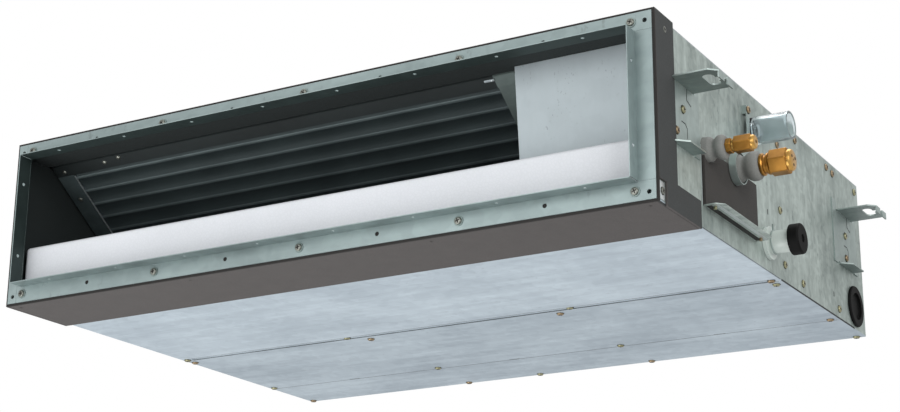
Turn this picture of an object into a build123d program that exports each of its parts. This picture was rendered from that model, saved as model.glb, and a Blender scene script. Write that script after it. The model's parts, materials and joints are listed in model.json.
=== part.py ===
from build123d import *
import os
from math import asin, cos, sin

# Slim ducted air conditioner indoor unit, hung from a ceiling by four slotted brackets.
# Millimetres. The origin is the middle of the casing's underside, +Z is up, the air leaves
# through the flange at the front (-Y), and the pipes leave through the right side (+X).

# Casing
casing_width = 845.0
casing_depth = 645.0
casing_height = 200.0
sheet = 1.0
top_flange_drop = 18.0
side_flange = 12.0
bottom_ledge = 14.0
seam_front = 344.0
rear_panel_depth = 100.0
seam_rear = casing_depth - rear_panel_depth
sill_depth = 108.0
joggle_width = 9.0
panel_gap = 0.5
seam_gap = 1.0
seat_gap = 0.3

# Outlet flange with its forward lip
flange_rim = 20.0
flange_corner = 13.0
lip_length = 19.0
flange_screw_pitch = 200.0
duct_hole_pitch = 200.0
duct_hole_r = 2.5
duct_hole_inset = 11.0
lip_hole_r = 2.0
lip_hole_pitch = 100.0
lip_side_hole_pitch = 90.0

# Foam band round the outlet
band_proud = 3.0
band_start = 3.0
band_upper_depth = 45.0
band_lower_depth = 104.5
band_step_height = 27.0
band_notch_depth = 18.0
band_notch_height = 22.0

# Lining of the air chamber
ceiling_foam_depth = 40.0
ceiling_foam = 15.0
wall_foam = 7.0
lining_lift = 3.0

# Heat exchanger: a finned block that leans back from the ceiling to the drain pan
coil_top_behind = 58.0
coil_top_height = casing_height - 25
coil_foot_height = 40.0
tube_pitch = 21.0
row_pitch = 13.3
tubes_per_row = 11
coil_margin = 6.0
coil_left = -384.0
coil_right = 216.0
fin_wave = 0.9
tube_r = 3.5
tube_clearance = 0.06
end_sheet = 1.0
end_flange = 26.0
end_plate_gap = 0.2
tube_stub = 45.0
bend_start = 1.0

# Piping compartment
piping_wall_x = 249.0
cover_panel_behind = 32.0
cover_panel_return = 12.0
cover_panel_slope = 0.105

# Drain pan of white foamed plastic
pan_front_behind = 8.0
pan_rear_behind = 332.0
pan_half_width = 408.0
pan_front_height = 70.0
pan_side_height = 62.0
pan_front_wall = 20.0
pan_wall = 10.0
pan_side_wall = 6.5
pan_floor = 18.0
pan_edge_round = 5.0
pan_post_width = 26.0

# Refrigerant pipes
pipe_height = 90.0
liquid_behind = 131.0
gas_behind = 204.0
liquid_pipe_r = 3.2
gas_pipe_r = 6.35
liquid_drop_x = 305.0
gas_drop_x = 345.0
pipe_bend_r = 22.0
pipe_wall = 0.8
sleeve_length_liquid = 24.0
sleeve_length_gas = 34.0
sleeve_r_liquid = 13.5
sleeve_r_gas = 16.5
liquid_nut_flats = 17.0
gas_nut_flats = 26.0
liquid_union_length = 9.0
gas_union_length = 11.0
liquid_nut_length = 23.0
gas_nut_length = 25.0
thread_clearance = 0.3

# Pipe window in the right side plate
window_behind = 120.0
window_width = 150.0
window_bottom = 26.0
window_top = 92.0
cover_margin = 5.0
cover_ledge_out = 15.0
cover_ledge_chamfer = 8.0
cover_foam_proud = 3.0
strap_behind = 248.0
strap_screw_height = casing_height - 27

# Drain fittings
socket_behind = 270.0
socket_height = casing_height - 45
socket_r = 16.0
socket_wall = 2.8
socket_out = 47.0
hose_r = 11.0
port_behind = 306.0
port_height = 34.0
port_r = 13.0
port_wall = 2.5
port_flange_r = 19.0
port_bore_length = 100.0
cap_start = 28.0
cap_r = 17.5
cap_length = 13.0
cap_depth = 9.0
cap_dimple_r = 4.5

# Drain pump and float switch
pump_x = 335.0
pump_behind = 270.0
pump_body_r = 27.0
pump_body_bottom = 96.0
pump_body_top = casing_height - 30
pump_cup_r = 20.0
pump_cup_height = 26.0
pump_neck_r = 14.0
cup_wall = 2.0
impeller_r = 16.5
impeller_shaft_r = 2.0
running_gap = 0.06
float_x = 290.0
float_behind = 300.0
stem_r = 3.0
float_r = 9.0
float_height = 20.0
float_rest = 44.0
float_travel = 12.0

# Cable bush
bush_behind = casing_depth - 39
bush_height = 30.0
bush_hole_r = 22.0
bush_r = 26.0
bush_lip = 3.5
bush_opening_r = 17.0

# Hanging brackets
hanger_sheet = 1.6
hanger_front_behind = 70.0
hanger_rear_inset = 65.0
hanger_web_width = 86.0
hanger_web_bottom = 73.0
hanger_web_top = casing_height - 45
ear_height = casing_height - 57
ear_width = 56.0
ear_out = 50.0
ear_corner = 9.0
slot_out = 34.5
slot_width = 12.0
slot_length = 31.0
slot_mouth = 9.0
ear_lip_drop = 8.0
tab_out = 15.0

# Fans
fan_behind = 448.0
scroll_room = 50.0
scroll_start_r = (casing_height - scroll_room) / 2
fan_height = scroll_start_r + 13
fan_middle_x = -80.0
fan_half_pitch = 150.0
wheel_r = scroll_start_r - 9
wheel_inner_r = wheel_r - 12
wheel_length = 146.0
blade_count = 36
blade_thickness = 1.0
blade_camber_r = 11.0
wheel_ring = 2.5
hub_r = 14.0
hub_length = 24.0
shaft_r = 5.0
scroll_width = 160.0
scroll_wall = 1.6
scroll_step = 8.0
scroll_mouth_r = wheel_inner_r + 1
scroll_tongue_r = 6.0
scroll_tongue_rise = 12.0
deck_sheet = 1.2

# Fan motor
motor_r = 42.0
motor_length = 84.0
motor_wall = 2.5
motor_boss_r = 16.0
motor_boss_length = 9.0
bearing_r = 11.0
bearing_width = 7.0
rotor_r = 23.0
stator_length = 46.0
air_gap = 0.8
rubber_r = 22.0
cradle_sheet = 2.0
strap_width = 8.0

# Electrical box behind the piping compartment
box_left = 262.0
box_front_behind = 364.0
box_rear_behind = casing_depth - 71
box_bottom = 20.0
box_top = casing_height - 50
board_front_gap = 10.0
board_length = 130.0
board_thickness = 1.6

# Rear inlet and its filter
inlet_left = -402.0
inlet_right = 250.0
inlet_rim = 18.0
filter_thickness = 8.0
filter_gap = 1.0
filter_seat = 0.3
filter_bar = 8.0
filter_mesh = 1.0
filter_columns = 6

# Screws
screw_r = 2.0
screw_hole_gap = 0.15
screw_head_r = 4.2
screw_head_height = 2.0
washer_r = 5.6
washer_thickness = 1.0
screw_reach = 6.0

front = -casing_depth / 2
back = casing_depth / 2
side = casing_width / 2
roof = casing_height - sheet
inside_x = side - sheet
chamber_x = inside_x - sheet


def behind(distance):
    """The Y of a plane that lies this far behind the face of the outlet flange."""
    return front + distance


def plate(x_range, y_range, z_range, mode=Mode.ADD):
    """A flat piece of sheet or foam between three pairs of limits."""
    (x0, x1), (y0, y1), (z0, z1) = x_range, y_range, z_range
    with BuildSketch(Plane.XY.offset(z0)) as outline:
        with Locations(((x0 + x1) / 2, (y0 + y1) / 2)):
            Rectangle(x1 - x0, y1 - y0)
    extrude(outline.sketch, amount=z1 - z0, mode=mode)


def rod(plane, radius, length, mode=Mode.ADD):
    """A round bar or hole that starts at a plane and runs along its normal."""
    with BuildSketch(plane) as section:
        Circle(radius)
    extrude(section.sketch, amount=length, mode=mode)


def holes(plane, places, radius, depth):
    """Round holes of one size, cut from a plane along its normal."""
    with BuildSketch(plane) as section:
        with Locations(*places):
            Circle(radius)
    extrude(section.sketch, amount=depth, mode=Mode.SUBTRACT)


def along_z(z, x=0.0, y=0.0):
    """A level plane that faces up."""
    return Plane(origin=(x, y, z))


def along_x(x, y=0.0, z=0.0):
    """A plane square to the X axis: its own x is Y and its own y is Z."""
    return Plane(origin=(x, y, z), x_dir=(0, 1, 0), z_dir=(1, 0, 0))


def along_y(y, x=0.0, z=0.0):
    """A plane square to the Y axis that faces back: its own x is -X and its own y is Z."""
    return Plane(origin=(x, y, z), x_dir=(-1, 0, 0), z_dir=(0, 1, 0))


def save(piece, label):
    """Name a finished piece and write it as one STEP file."""
    piece.part.label = label
    export_step(piece.part, f"parts/{label}.step")


os.makedirs("parts", exist_ok=True)

# Places that several pieces share
flange_screw_x = [flange_screw_pitch * k for k in (-2, -1, 0, 1, 2)]
duct_hole_x = [duct_hole_pitch * k for k in (-1.5, -0.5, 0.5, 1.5)]
flange_screw_z = [flange_rim / 2, casing_height - flange_rim / 2]
duct_hole_z = [duct_hole_inset, casing_height - duct_hole_inset]
screw_hole_r = screw_r + screw_hole_gap
deck_y = behind(seam_front)
deck_back = deck_y + deck_sheet
fan_y = behind(fan_behind)
fan_x = [fan_middle_x - fan_half_pitch, fan_middle_x + fan_half_pitch]
hanger_y = [behind(hanger_front_behind), behind(casing_depth - hanger_rear_inset)]
# Screws of one hanging bracket: offset along Y from the bracket's middle, and height
hanger_screws = [[(-17.5, 87.0), (0.0, 115.0)], [(0.0, 86.0), (0.0, 115.0)]]
hanger_screw_places = [
    (y + offset, z) for y, screws in zip(hanger_y, hanger_screws) for offset, z in screws
]
duct_holes = [(x, z) for x in duct_hole_x for z in duct_hole_z]
corner_hole_z = [8, casing_height - 10]
corner_hole_x = side - 7.5

# Screws in the two side plates: distance behind the flange and height
high = casing_height - 10
side_screw_places = [
    (197, high), (413, high), (seam_rear - 20, high), (seam_rear + 2, high - 2),
    (casing_depth - 13, high - 2), (seam_front + 6, high - 25), (seam_front + 6, 85),
    (seam_front + 14, 22), (seam_front + 73, 14), (seam_rear, 13),
]
# Rows of screws in the bottom panels: distance behind the flange, then X from left to right
joggle_row = seam_front - joggle_width / 2
deck_row = seam_front + 12
overlap_row = seam_rear - 5
rear_row = casing_depth - 5
bottom_screw_rows = {
    joggle_row: (-416, -160, 158, 412),
    deck_row: (-416, -134, 137, 412),
    overlap_row: (-416, -143, 131, 412),
    rear_row: (-416, -151, -38, 130, 412),
}

# Top panel: a sheet with edges turned down at the front and inside both side plates
with BuildPart() as top_panel:
    plate((-side, side), (front + sheet, back), (roof, casing_height))
    for edge in (-1, 1):
        plate(
            sorted((edge * inside_x, edge * chamber_x)),
            (front + 2 * sheet + panel_gap, back - sheet - panel_gap),
            (casing_height - top_flange_drop, roof),
        )
    plate(
        (-side + side_flange + panel_gap, side - side_flange - panel_gap),
        (front + sheet, front + 2 * sheet),
        (casing_height - top_flange_drop, roof),
    )
    holes(
        along_y(front),
        [(-x, casing_height - flange_rim / 2) for x in flange_screw_x],
        screw_hole_r,
        3 * sheet,
    )
    holes(along_y(front), [(x, max(duct_hole_z)) for x in duct_hole_x], duct_hole_r, 3 * sheet)
    for edge in (-1, 1):
        holes(
            along_x(edge * side),
            [(behind(b), z) for b, z in side_screw_places if z > casing_height - top_flange_drop],
            screw_hole_r,
            -edge * 3 * sheet,
        )
save(top_panel, "top_panel")

# Front sill: the bottom of the outlet collar, with an edge turned up behind the flange
with BuildPart() as front_sill:
    plate((-side, side), (front + sheet, behind(sill_depth)), (0, sheet))
    plate(
        (-side + side_flange + panel_gap, side - side_flange - panel_gap),
        (front + sheet, front + 2 * sheet),
        (sheet, top_flange_drop),
    )
    holes(along_y(front), [(-x, flange_rim / 2) for x in flange_screw_x], screw_hole_r, 3 * sheet)
    holes(along_y(front), [(x, min(duct_hole_z)) for x in duct_hole_x], duct_hole_r, 3 * sheet)
save(front_sill, "front_sill")


tuck_half = side - bottom_ledge - panel_gap


def panel_holes(*rows):
    """Screw holes of the named rows, through a bottom panel and its tucked edge."""
    for row in rows:
        holes(Plane.XY, [(x, behind(row)) for x in bottom_screw_rows[row]], screw_hole_r, 3 * sheet)


# Front bottom panel: its rear edge is joggled up over the fan deck's flange
with BuildPart() as bottom_panel_front:
    joggle_y = behind(seam_front - joggle_width)
    plate((-side, side), (behind(sill_depth) + seam_gap, joggle_y), (0, sheet))
    plate((-tuck_half, tuck_half), (joggle_y - sheet, joggle_y), (0, 2 * sheet))
    plate((-tuck_half, tuck_half), (joggle_y - sheet, behind(seam_front)), (sheet, 2 * sheet))
    for edge in (-1, 1):
        end_x = edge * (tuck_half + panel_gap)
        plate(sorted((edge * side, end_x)), (joggle_y, behind(seam_front)), (0, sheet))
    panel_holes(joggle_row)
save(bottom_panel_front, "bottom_panel_front")

with BuildPart() as bottom_panel_middle:
    plate((-side, side), (behind(seam_front) + seam_gap, behind(seam_rear)), (0, sheet))
    panel_holes(deck_row, overlap_row)
save(bottom_panel_middle, "bottom_panel_middle")

# Rear bottom panel: its front edge laps over the middle panel
with BuildPart() as bottom_panel_rear:
    plate((-side, side), (behind(seam_rear) + seam_gap, back), (0, sheet))
    plate((-tuck_half, tuck_half), (behind(seam_rear - 11), behind(seam_rear + 3)), (sheet, 2 * sheet))
    panel_holes(overlap_row, rear_row)
save(bottom_panel_rear, "bottom_panel_rear")


def side_plate(edge):
    """A side plate with turned-in front, rear and bottom edges; edge is -1 left, 1 right."""
    outer, inner = edge * side, edge * inside_x
    with BuildPart() as side_sheet:
        plate(sorted((outer, inner)), (front + sheet, back), (sheet, roof))
        turned = sorted((outer, edge * (side - side_flange)))
        plate(turned, (front + sheet, front + 2 * sheet), (sheet, roof))
        plate(turned, (back - sheet, back), (sheet, roof))
        plate(
            sorted((outer, edge * (side - bottom_ledge))),
            (front + 2 * sheet, back - sheet),
            (sheet, 2 * sheet),
        )
        cut = -edge * 3 * sheet
        places = [(behind(b), z) for b, z in side_screw_places]
        holes(along_x(edge * side), places + hanger_screw_places, screw_hole_r, cut)
        corners = [(-edge * corner_hole_x, z) for z in corner_hole_z]
        holes(along_y(front), corners, duct_hole_r, 3 * sheet)
        for distance, xs in bottom_screw_rows.items():
            ends = [(x, behind(distance)) for x in xs if x * edge > side - bottom_ledge]
            if ends:
                holes(Plane.XY, ends, screw_hole_r, 4 * sheet)
        if edge > 0:
            with BuildSketch(along_x(side)):
                with Locations((behind(window_behind + window_width / 2),
                                (window_bottom + window_top) / 2)):
                    Rectangle(window_width, window_top - window_bottom)
                with Locations((behind(liquid_behind), pipe_height)):
                    Circle(sleeve_r_liquid + seat_gap)
                with Locations((behind(gas_behind), pipe_height)):
                    Circle(sleeve_r_gas + seat_gap)
                with Locations((behind(socket_behind), socket_height)):
                    Circle(hose_r + seat_gap)
                with Locations((behind(port_behind), port_height)):
                    Circle(port_r + seat_gap)
                with Locations((behind(bush_behind), bush_height)):
                    Circle(bush_hole_r)
                with Locations((behind(strap_behind), strap_screw_height)):
                    Circle(screw_hole_r)
            extrude(amount=cut, mode=Mode.SUBTRACT)
    return side_sheet


save(side_plate(-1), "side_plate_left")
save(side_plate(1), "side_plate_right")

# Outlet flange: four angles whose inner legs make the lip. The left one runs the full height
lip_x = side - flange_rim
corner_x = side - flange_corner
with BuildPart() as outlet_flange:
    joint = 0.2
    for low, lip_low in ((0, flange_rim - sheet), (casing_height - flange_rim,) * 2):
        plate((-corner_x + joint, side), (front, front + sheet), (low, low + flange_rim))
        plate((-lip_x, lip_x), (front - lip_length, front), (lip_low, lip_low + sheet))
    plate((-side, -corner_x), (front, front + sheet), (0, casing_height))
    for edge in (-1, 1):
        plate(
            sorted((edge * (side if edge > 0 else corner_x), edge * lip_x)),
            (front, front + sheet),
            (flange_rim + joint, casing_height - flange_rim - joint),
        )
        plate(
            sorted((edge * (lip_x + joint), edge * (lip_x + sheet + joint))),
            (front - lip_length, front),
            (flange_rim + joint, casing_height - flange_rim - joint),
        )
        holes(
            along_x(edge * (lip_x - sheet)),
            [
                (front - lip_length / 2, casing_height / 2 + lip_side_hole_pitch * half)
                for half in (-0.5, 0.5)
            ],
            lip_hole_r,
            edge * 4 * sheet,
        )
    holes(
        along_y(front),
        [(x, z) for x in flange_screw_x for z in flange_screw_z],
        screw_hole_r,
        2 * sheet,
    )
    corners = [(x, z) for x in (-corner_hole_x, corner_hole_x) for z in corner_hole_z]
    holes(along_y(front), duct_holes + corners, duct_hole_r, 2 * sheet)
    lip_holes = [(lip_hole_pitch * (k - 3.5), front - lip_length / 2) for k in range(8)]
    holes(Plane.XY, lip_holes, lip_hole_r, casing_height)
save(outlet_flange, "outlet_flange")

# Foam band: four strips glued round the outlet; the side strips step down to full depth below
band_out = side + band_proud
with BuildPart() as foam_band:
    strip_half = side - 0.2
    for depth, low in ((band_upper_depth, casing_height), (band_lower_depth, -band_proud)):
        plate((-strip_half, strip_half), (behind(band_start), behind(band_start + depth)),
              (low, low + band_proud))
    for edge in (-1, 1):
        reach = sorted((edge * side, edge * band_out))
        with BuildSketch(along_x(reach[0])):
            with BuildLine():
                Polyline(
                    (behind(band_start), -band_proud),
                    (behind(band_start + band_lower_depth), -band_proud),
                    (behind(band_start + band_lower_depth), band_step_height),
                    (behind(band_start + band_upper_depth), band_step_height),
                    (behind(band_start + band_upper_depth), casing_height + band_proud),
                    (behind(band_start), casing_height + band_proud),
                    close=True,
                )
            make_face()
            if edge > 0:
                with Locations((behind(band_start), -band_proud)):
                    Rectangle(
                        2 * band_notch_depth,
                        2 * (band_notch_height + band_proud),
                        mode=Mode.SUBTRACT,
                    )
        extrude(amount=band_proud)
        # Pocket in the back of the strip for the web of the front hanging bracket
        half_web = hanger_web_width / 2 + seat_gap
        plate(
            sorted((edge * side, edge * (side + hanger_sheet + seat_gap))),
            (hanger_y[0] - half_web, hanger_y[0] + half_web),
            (hanger_web_bottom - seat_gap, hanger_web_top + seat_gap),
            mode=Mode.SUBTRACT,
        )
        # Slits where the bracket's ear and tab stick out through the strip
        for top in (ear_height, hanger_web_bottom + hanger_sheet):
            plate(
                sorted((edge * side, edge * (band_out + 1))),
                (hanger_y[0] - ear_width / 2 - seat_gap, behind(band_start + band_upper_depth) + 1),
                (top - hanger_sheet - seat_gap, top + seat_gap),
                mode=Mode.SUBTRACT,
            )
save(foam_band, "foam_band")

# Lining: dark foam on the ceiling by the outlet, on the left wall and above the fins' back
with BuildPart() as chamber_lining:
    plate(
        (-chamber_x, chamber_x),
        (front + 2 * sheet + panel_gap, behind(2 * sheet + panel_gap + ceiling_foam_depth)),
        (roof - ceiling_foam, roof),
    )
    plate(
        (-chamber_x, -chamber_x + wall_foam),
        (front + 2 * sheet + panel_gap, deck_y - panel_gap),
        (2 * sheet + lining_lift, roof - ceiling_foam),
    )
    screw_ends = [(-x, casing_height - flange_rim / 2) for x in flange_screw_x]
    holes(along_y(front), screw_ends, screw_r + 1, screw_reach + 2)
save(chamber_lining, "chamber_lining")

# Heat exchanger. Its own plane runs down the lean (x) and through the block's thickness (y)
coil_rows = 2
coil_thickness = coil_rows * row_pitch
coil_run = tube_pitch * (tubes_per_row - 0.5) + 2 * coil_margin
lean = asin((coil_top_height - coil_foot_height) / coil_run)
coil_top_y = behind(coil_top_behind)


def coil_plane(x):
    """The leaning section plane of the heat exchanger at one X."""
    return Plane(
        origin=(x, coil_top_y, coil_top_height),
        x_dir=(0, cos(lean), -sin(lean)),
        z_dir=(1, 0, 0),
    )


def coil_point(x, run, depth):
    """A point in the heat exchanger: X, distance down the lean, depth behind its face."""
    return (
        x,
        coil_top_y + run * cos(lean) + depth * sin(lean),
        coil_top_height - run * sin(lean) + depth * cos(lean),
    )


def tube_place(row, index):
    """Where a tube crosses the section plane; the second row is staggered by half a pitch."""
    return (coil_margin + tube_pitch * (index + 0.5 * row), row_pitch * (row + 0.5))


tube_places = [tube_place(r, i) for r in range(coil_rows) for i in range(tubes_per_row)]

# Finned block: the fins' pressed waves run along it as ridges at every half pitch
with BuildPart() as coil_fins:
    waves = int(coil_run // (tube_pitch / 2))
    step = coil_run / waves
    face = [(step * k, fin_wave * (k % 2)) for k in range(waves + 1)]
    rear = [(step * k, coil_thickness - fin_wave * (k % 2)) for k in reversed(range(waves + 1))]
    with BuildSketch(coil_plane(coil_left)):
        with BuildLine():
            Polyline(*face, *rear, close=True)
        make_face()
        with Locations(*tube_places):
            Circle(tube_r + tube_clearance, mode=Mode.SUBTRACT)
    extrude(amount=coil_right - coil_left)
save(coil_fins, "coil_fins")

# Tube: one circuit that winds through both rows, with a return bend at each end
left_end = coil_left - end_sheet - end_plate_gap - bend_start
right_end = coil_right + end_sheet + end_plate_gap + bend_start
circuit = [(0, i) for i in range(tubes_per_row)] + [(1, i) for i in reversed(range(tubes_per_row))]
with BuildPart() as coil_tubes:
    with BuildLine() as winding:
        x_from, x_to = right_end + tube_stub, left_end
        for number, place in enumerate(circuit):
            last = number == len(circuit) - 1
            if last:
                x_to = right_end + tube_stub
            start = coil_point(x_from, *tube_place(*place))
            end = coil_point(x_to, *tube_place(*place))
            Line(start, end)
            if not last:
                across = coil_point(x_to, *tube_place(*circuit[number + 1]))
                gap = Vector(*across) - Vector(*end)
                bulge = gap.length / 2 * (-1 if x_to == left_end else 1)
                middle = Vector(*end) + gap * 0.5 + Vector(bulge, 0, 0)
                ThreePointArc(end, middle, across)
            x_from, x_to = x_to, (left_end if x_to == right_end else right_end)
    first = coil_point(right_end + tube_stub, *tube_place(*circuit[0]))
    with BuildSketch(Plane(origin=first, x_dir=(0, 1, 0), z_dir=(-1, 0, 0))):
        Circle(tube_r)
    sweep(path=winding.line)
save(coil_tubes, "coil_tubes")


# The left flange stops above the drain pan's side wall
flange_run_left = (coil_top_height - pan_side_height) / sin(lean) - 6

# End plates of the coil, each with a flange in the plane of the block's face
with BuildPart() as coil_end_plates:
    for web_x, flange_x, flange_run in (
        (coil_left - end_plate_gap - end_sheet, coil_left - end_plate_gap - end_flange, flange_run_left),
        (coil_right + end_plate_gap, coil_right + end_plate_gap, coil_run),
    ):
        with BuildSketch(coil_plane(web_x)):
            with Locations((coil_run / 2, coil_thickness / 2)):
                Rectangle(coil_run, coil_thickness)
            with Locations(*tube_places):
                Circle(tube_r + tube_clearance, mode=Mode.SUBTRACT)
        extrude(amount=end_sheet)
        with BuildSketch(coil_plane(flange_x)):
            with Locations((flange_run / 2, -end_sheet / 2)):
                Rectangle(flange_run, end_sheet)
        extrude(amount=end_flange)
save(coil_end_plates, "coil_end_plates")

# Strip that closes the gap between the coil's top edge and the ceiling
strip_top = coil_point(0, -(roof - ceiling_foam - coil_top_height) / sin(lean), 0)
with BuildPart() as coil_top_strip:
    strip_left = coil_left - end_flange
    strip_length = coil_right - coil_left + 2 * end_flange
    slant = (strip_top[2] - coil_top_height) / sin(lean)
    with BuildSketch(coil_plane(strip_left)):
        with Locations((-end_sheet / 2, (coil_thickness - 5) / 2)):
            Rectangle(end_sheet, coil_thickness - 3)
        with Locations((-slant / 2, -end_sheet / 2)):
            Rectangle(slant, end_sheet)
    extrude(amount=strip_length)
    plate(
        (strip_left, strip_left + strip_length),
        (strip_top[1] - end_sheet, strip_top[1]),
        (strip_top[2] - end_sheet, roof - seat_gap),
    )
save(coil_top_strip, "coil_top_strip")

# Wall and front cover of the piping compartment; the cover leans back towards its foot
wall_top = roof - seat_gap
wall_low = pan_side_height + seat_gap
cover_top = roof - ceiling_foam - seat_gap
pan_inner_x = pan_half_width - pan_side_wall
stub_y = [coil_point(0, *tube_place(row, 0))[1] for row in (0, 1)]
stub_z = [coil_point(0, *tube_place(row, 0))[2] for row in (0, 1)]


def cover_face(z):
    """The Y of the leaning cover's front face at one height."""
    return behind(cover_panel_behind) + (cover_top - z) * cover_panel_slope


def leaning_strip(x_range, low, high, depth):
    """A piece whose front is the cover's face between two heights, this deep along Y."""
    with BuildSketch(along_x(x_range[0])) as section:
        with BuildLine():
            Polyline(
                (cover_face(low), low),
                (cover_face(low) + depth, low),
                (cover_face(high) + depth, high),
                (cover_face(high), high),
                close=True,
            )
        make_face()
    extrude(section.sketch, amount=x_range[1] - x_range[0])


with BuildPart() as piping_wall:
    foam_end = front + 2 * sheet + panel_gap + ceiling_foam_depth + seat_gap
    with BuildSketch(along_x(piping_wall_x)):
        with BuildLine():
            Polyline(
                (cover_face(wall_low) + sheet, wall_low),
                (deck_y - seat_gap, wall_low),
                (deck_y - seat_gap, wall_top),
                (foam_end, wall_top),
                (foam_end, cover_top),
                (cover_face(cover_top) + sheet, cover_top),
                close=True,
            )
        make_face()
    extrude(amount=sheet)
    holes(along_x(piping_wall_x), list(zip(stub_y, stub_z)), tube_r + 1.5, sheet)
save(piping_wall, "piping_wall")

with BuildPart() as piping_cover_panel:
    cover_bottom = pan_front_height - 20
    leaning_strip((piping_wall_x, pan_inner_x - seat_gap), cover_bottom, cover_top, sheet)
    leaning_strip((piping_wall_x, chamber_x - sheet), wall_low, cover_top, sheet)
    return_x = piping_wall_x + sheet + seat_gap
    leaning_strip((return_x, return_x + sheet), wall_low + 4, cover_top - 4, cover_panel_return)
save(piping_cover_panel, "piping_cover_panel")

# Drain pan: a trough under the coil with a high front wall, posts for the coil and a sump
coil_foot = coil_point(0, coil_run, 0)
with BuildPart() as drain_pan:
    pan_y = (behind(pan_front_behind), behind(pan_rear_behind))
    with BuildSketch(along_x(-pan_half_width)):
        with BuildLine():
            Polyline(
                (pan_y[0], sheet + seat_gap),
                (pan_y[1], sheet + seat_gap),
                (pan_y[1], pan_side_height),
                (pan_y[0] + pan_front_wall, pan_side_height),
                (pan_y[0] + pan_front_wall, pan_front_height),
                (pan_y[0], pan_front_height),
                close=True,
            )
        make_face()
    extrude(amount=2 * pan_half_width)
    fillet(drain_pan.edges().filter_by(Axis.Z).group_by(Axis.Y)[0], pan_edge_round)
    fillet(drain_pan.faces().sort_by(Axis.Y)[0].edges().sort_by(Axis.Z)[-1], pan_edge_round)
    # Trough, sloped along the length towards the sump on the pump's side
    with BuildSketch(Plane.XZ.offset(-(pan_y[1] - pan_wall))):
        with BuildLine():
            Polyline(
                (-pan_inner_x, pan_floor + 6),
                (pan_inner_x, pan_floor),
                (pan_inner_x, pan_front_height + 5),
                (-pan_inner_x, pan_front_height + 5),
                close=True,
            )
        make_face()
    extrude(amount=pan_y[1] - pan_y[0] - pan_wall - pan_front_wall, mode=Mode.SUBTRACT)
    # Posts that carry the foot of the coil
    for post_x in (coil_left + pan_post_width, coil_right - pan_post_width):
        plate(
            (post_x - pan_post_width / 2, post_x + pan_post_width / 2),
            (coil_foot[1] - 20, coil_foot[1] + 10),
            (pan_floor - 4, coil_foot[2] - seat_gap),
        )
    # Sump under the pump, and the hole for the drain port
    rod(along_z(pan_floor - 10, pump_x, behind(pump_behind)), pump_cup_r + 6, 30, Mode.SUBTRACT)
    rod(along_x(pan_inner_x - 1, behind(port_behind), port_height),
        port_r + seat_gap, pan_side_wall + 2, Mode.SUBTRACT)
save(drain_pan, "drain_pan")


def pipe(points, bend, outer_r, inner_r):
    """A pipe along straight runs joined by bends, hollow from end to end."""
    with BuildLine() as route:
        FilletPolyline(*points, radius=bend)
    heading = Vector(*points[1]) - Vector(*points[0])
    with BuildSketch(Plane(origin=points[0], z_dir=heading)) as section:
        Circle(outer_r)
        Circle(inner_r, mode=Mode.SUBTRACT)
    sweep(section.sketch, path=route.line)


def pipe_start(row):
    """Where a refrigerant pipe's cup slides over the coil's stub."""
    return coil_point(right_end + tube_stub - 6, *tube_place(row, 0))


lines = {
    "liquid": (0, liquid_behind, liquid_drop_x, liquid_pipe_r, sleeve_length_liquid,
               liquid_union_length, liquid_nut_flats, liquid_nut_length),
    "gas": (1, gas_behind, gas_drop_x, gas_pipe_r, sleeve_length_gas,
            gas_union_length, gas_nut_flats, gas_nut_length),
}
for name, (row, far, drop_x, pipe_r, sleeve_out, union, flats, nut) in lines.items():
    axis = (behind(far), pipe_height)
    start = pipe_start(row)
    thread_r = flats / 2 - 2.6
    union_x = side + sleeve_out

    # Copper pipe from the coil's stub, down and out of the casing, with its brazed union
    with BuildPart() as copper:
        cup_r = max(pipe_r, tube_r + 0.9)
        points = [
            (start[0] + 7, start[1], start[2]),
            (drop_x, start[1], start[2]),
            (drop_x, *axis),
            (union_x + union, *axis),
        ]
        pipe(points, pipe_bend_r, pipe_r, pipe_r - pipe_wall)
        rod(along_x(*start), cup_r, 8)
        rod(along_x(*start), tube_r + seat_gap / 4, 6.3, Mode.SUBTRACT)
        with BuildSketch(along_x(union_x + seat_gap, *axis)):
            RegularPolygon(flats / 2 - 1.5, 6, major_radius=False)
        extrude(amount=union - seat_gap)
        rod(along_x(union_x + union, *axis), thread_r, nut - 8)
        rod(along_x(start[0] + 6, *start[1:]), pipe_r - pipe_wall, 3, Mode.SUBTRACT)
        rod(along_x(union_x, *axis), pipe_r - pipe_wall, union + nut, Mode.SUBTRACT)
    save(copper, name + "_pipe")

    # Flare nut, closed for transport
    with BuildPart() as flare_nut:
        nut_x = union_x + union + seat_gap
        with BuildSketch(along_x(nut_x, *axis)):
            RegularPolygon(flats / 2, 6, major_radius=False)
        extrude(amount=nut)
        rod(along_x(nut_x, *axis), flats / 2 * 1.09, nut, Mode.INTERSECT)
        rod(along_x(nut_x, *axis), thread_r + thread_clearance, nut - 7.5, Mode.SUBTRACT)
        rod(along_x(nut_x + nut - 2, *axis), flats / 5, 4, Mode.SUBTRACT)
    save(flare_nut, name + "_flare_nut")

# Foam sleeves where the two pipes go through the wall
with BuildPart() as pipe_sleeves:
    for far, pipe_r, sleeve_out, sleeve_r in (
        (liquid_behind, liquid_pipe_r, sleeve_length_liquid, sleeve_r_liquid),
        (gas_behind, gas_pipe_r, sleeve_length_gas, sleeve_r_gas),
    ):
        with BuildSketch(along_x(side - 45, behind(far), pipe_height)):
            Circle(sleeve_r)
            Circle(pipe_r + seat_gap / 2, mode=Mode.SUBTRACT)
        extrude(amount=45 + sleeve_out)
save(pipe_sleeves, "pipe_sleeves")

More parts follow.
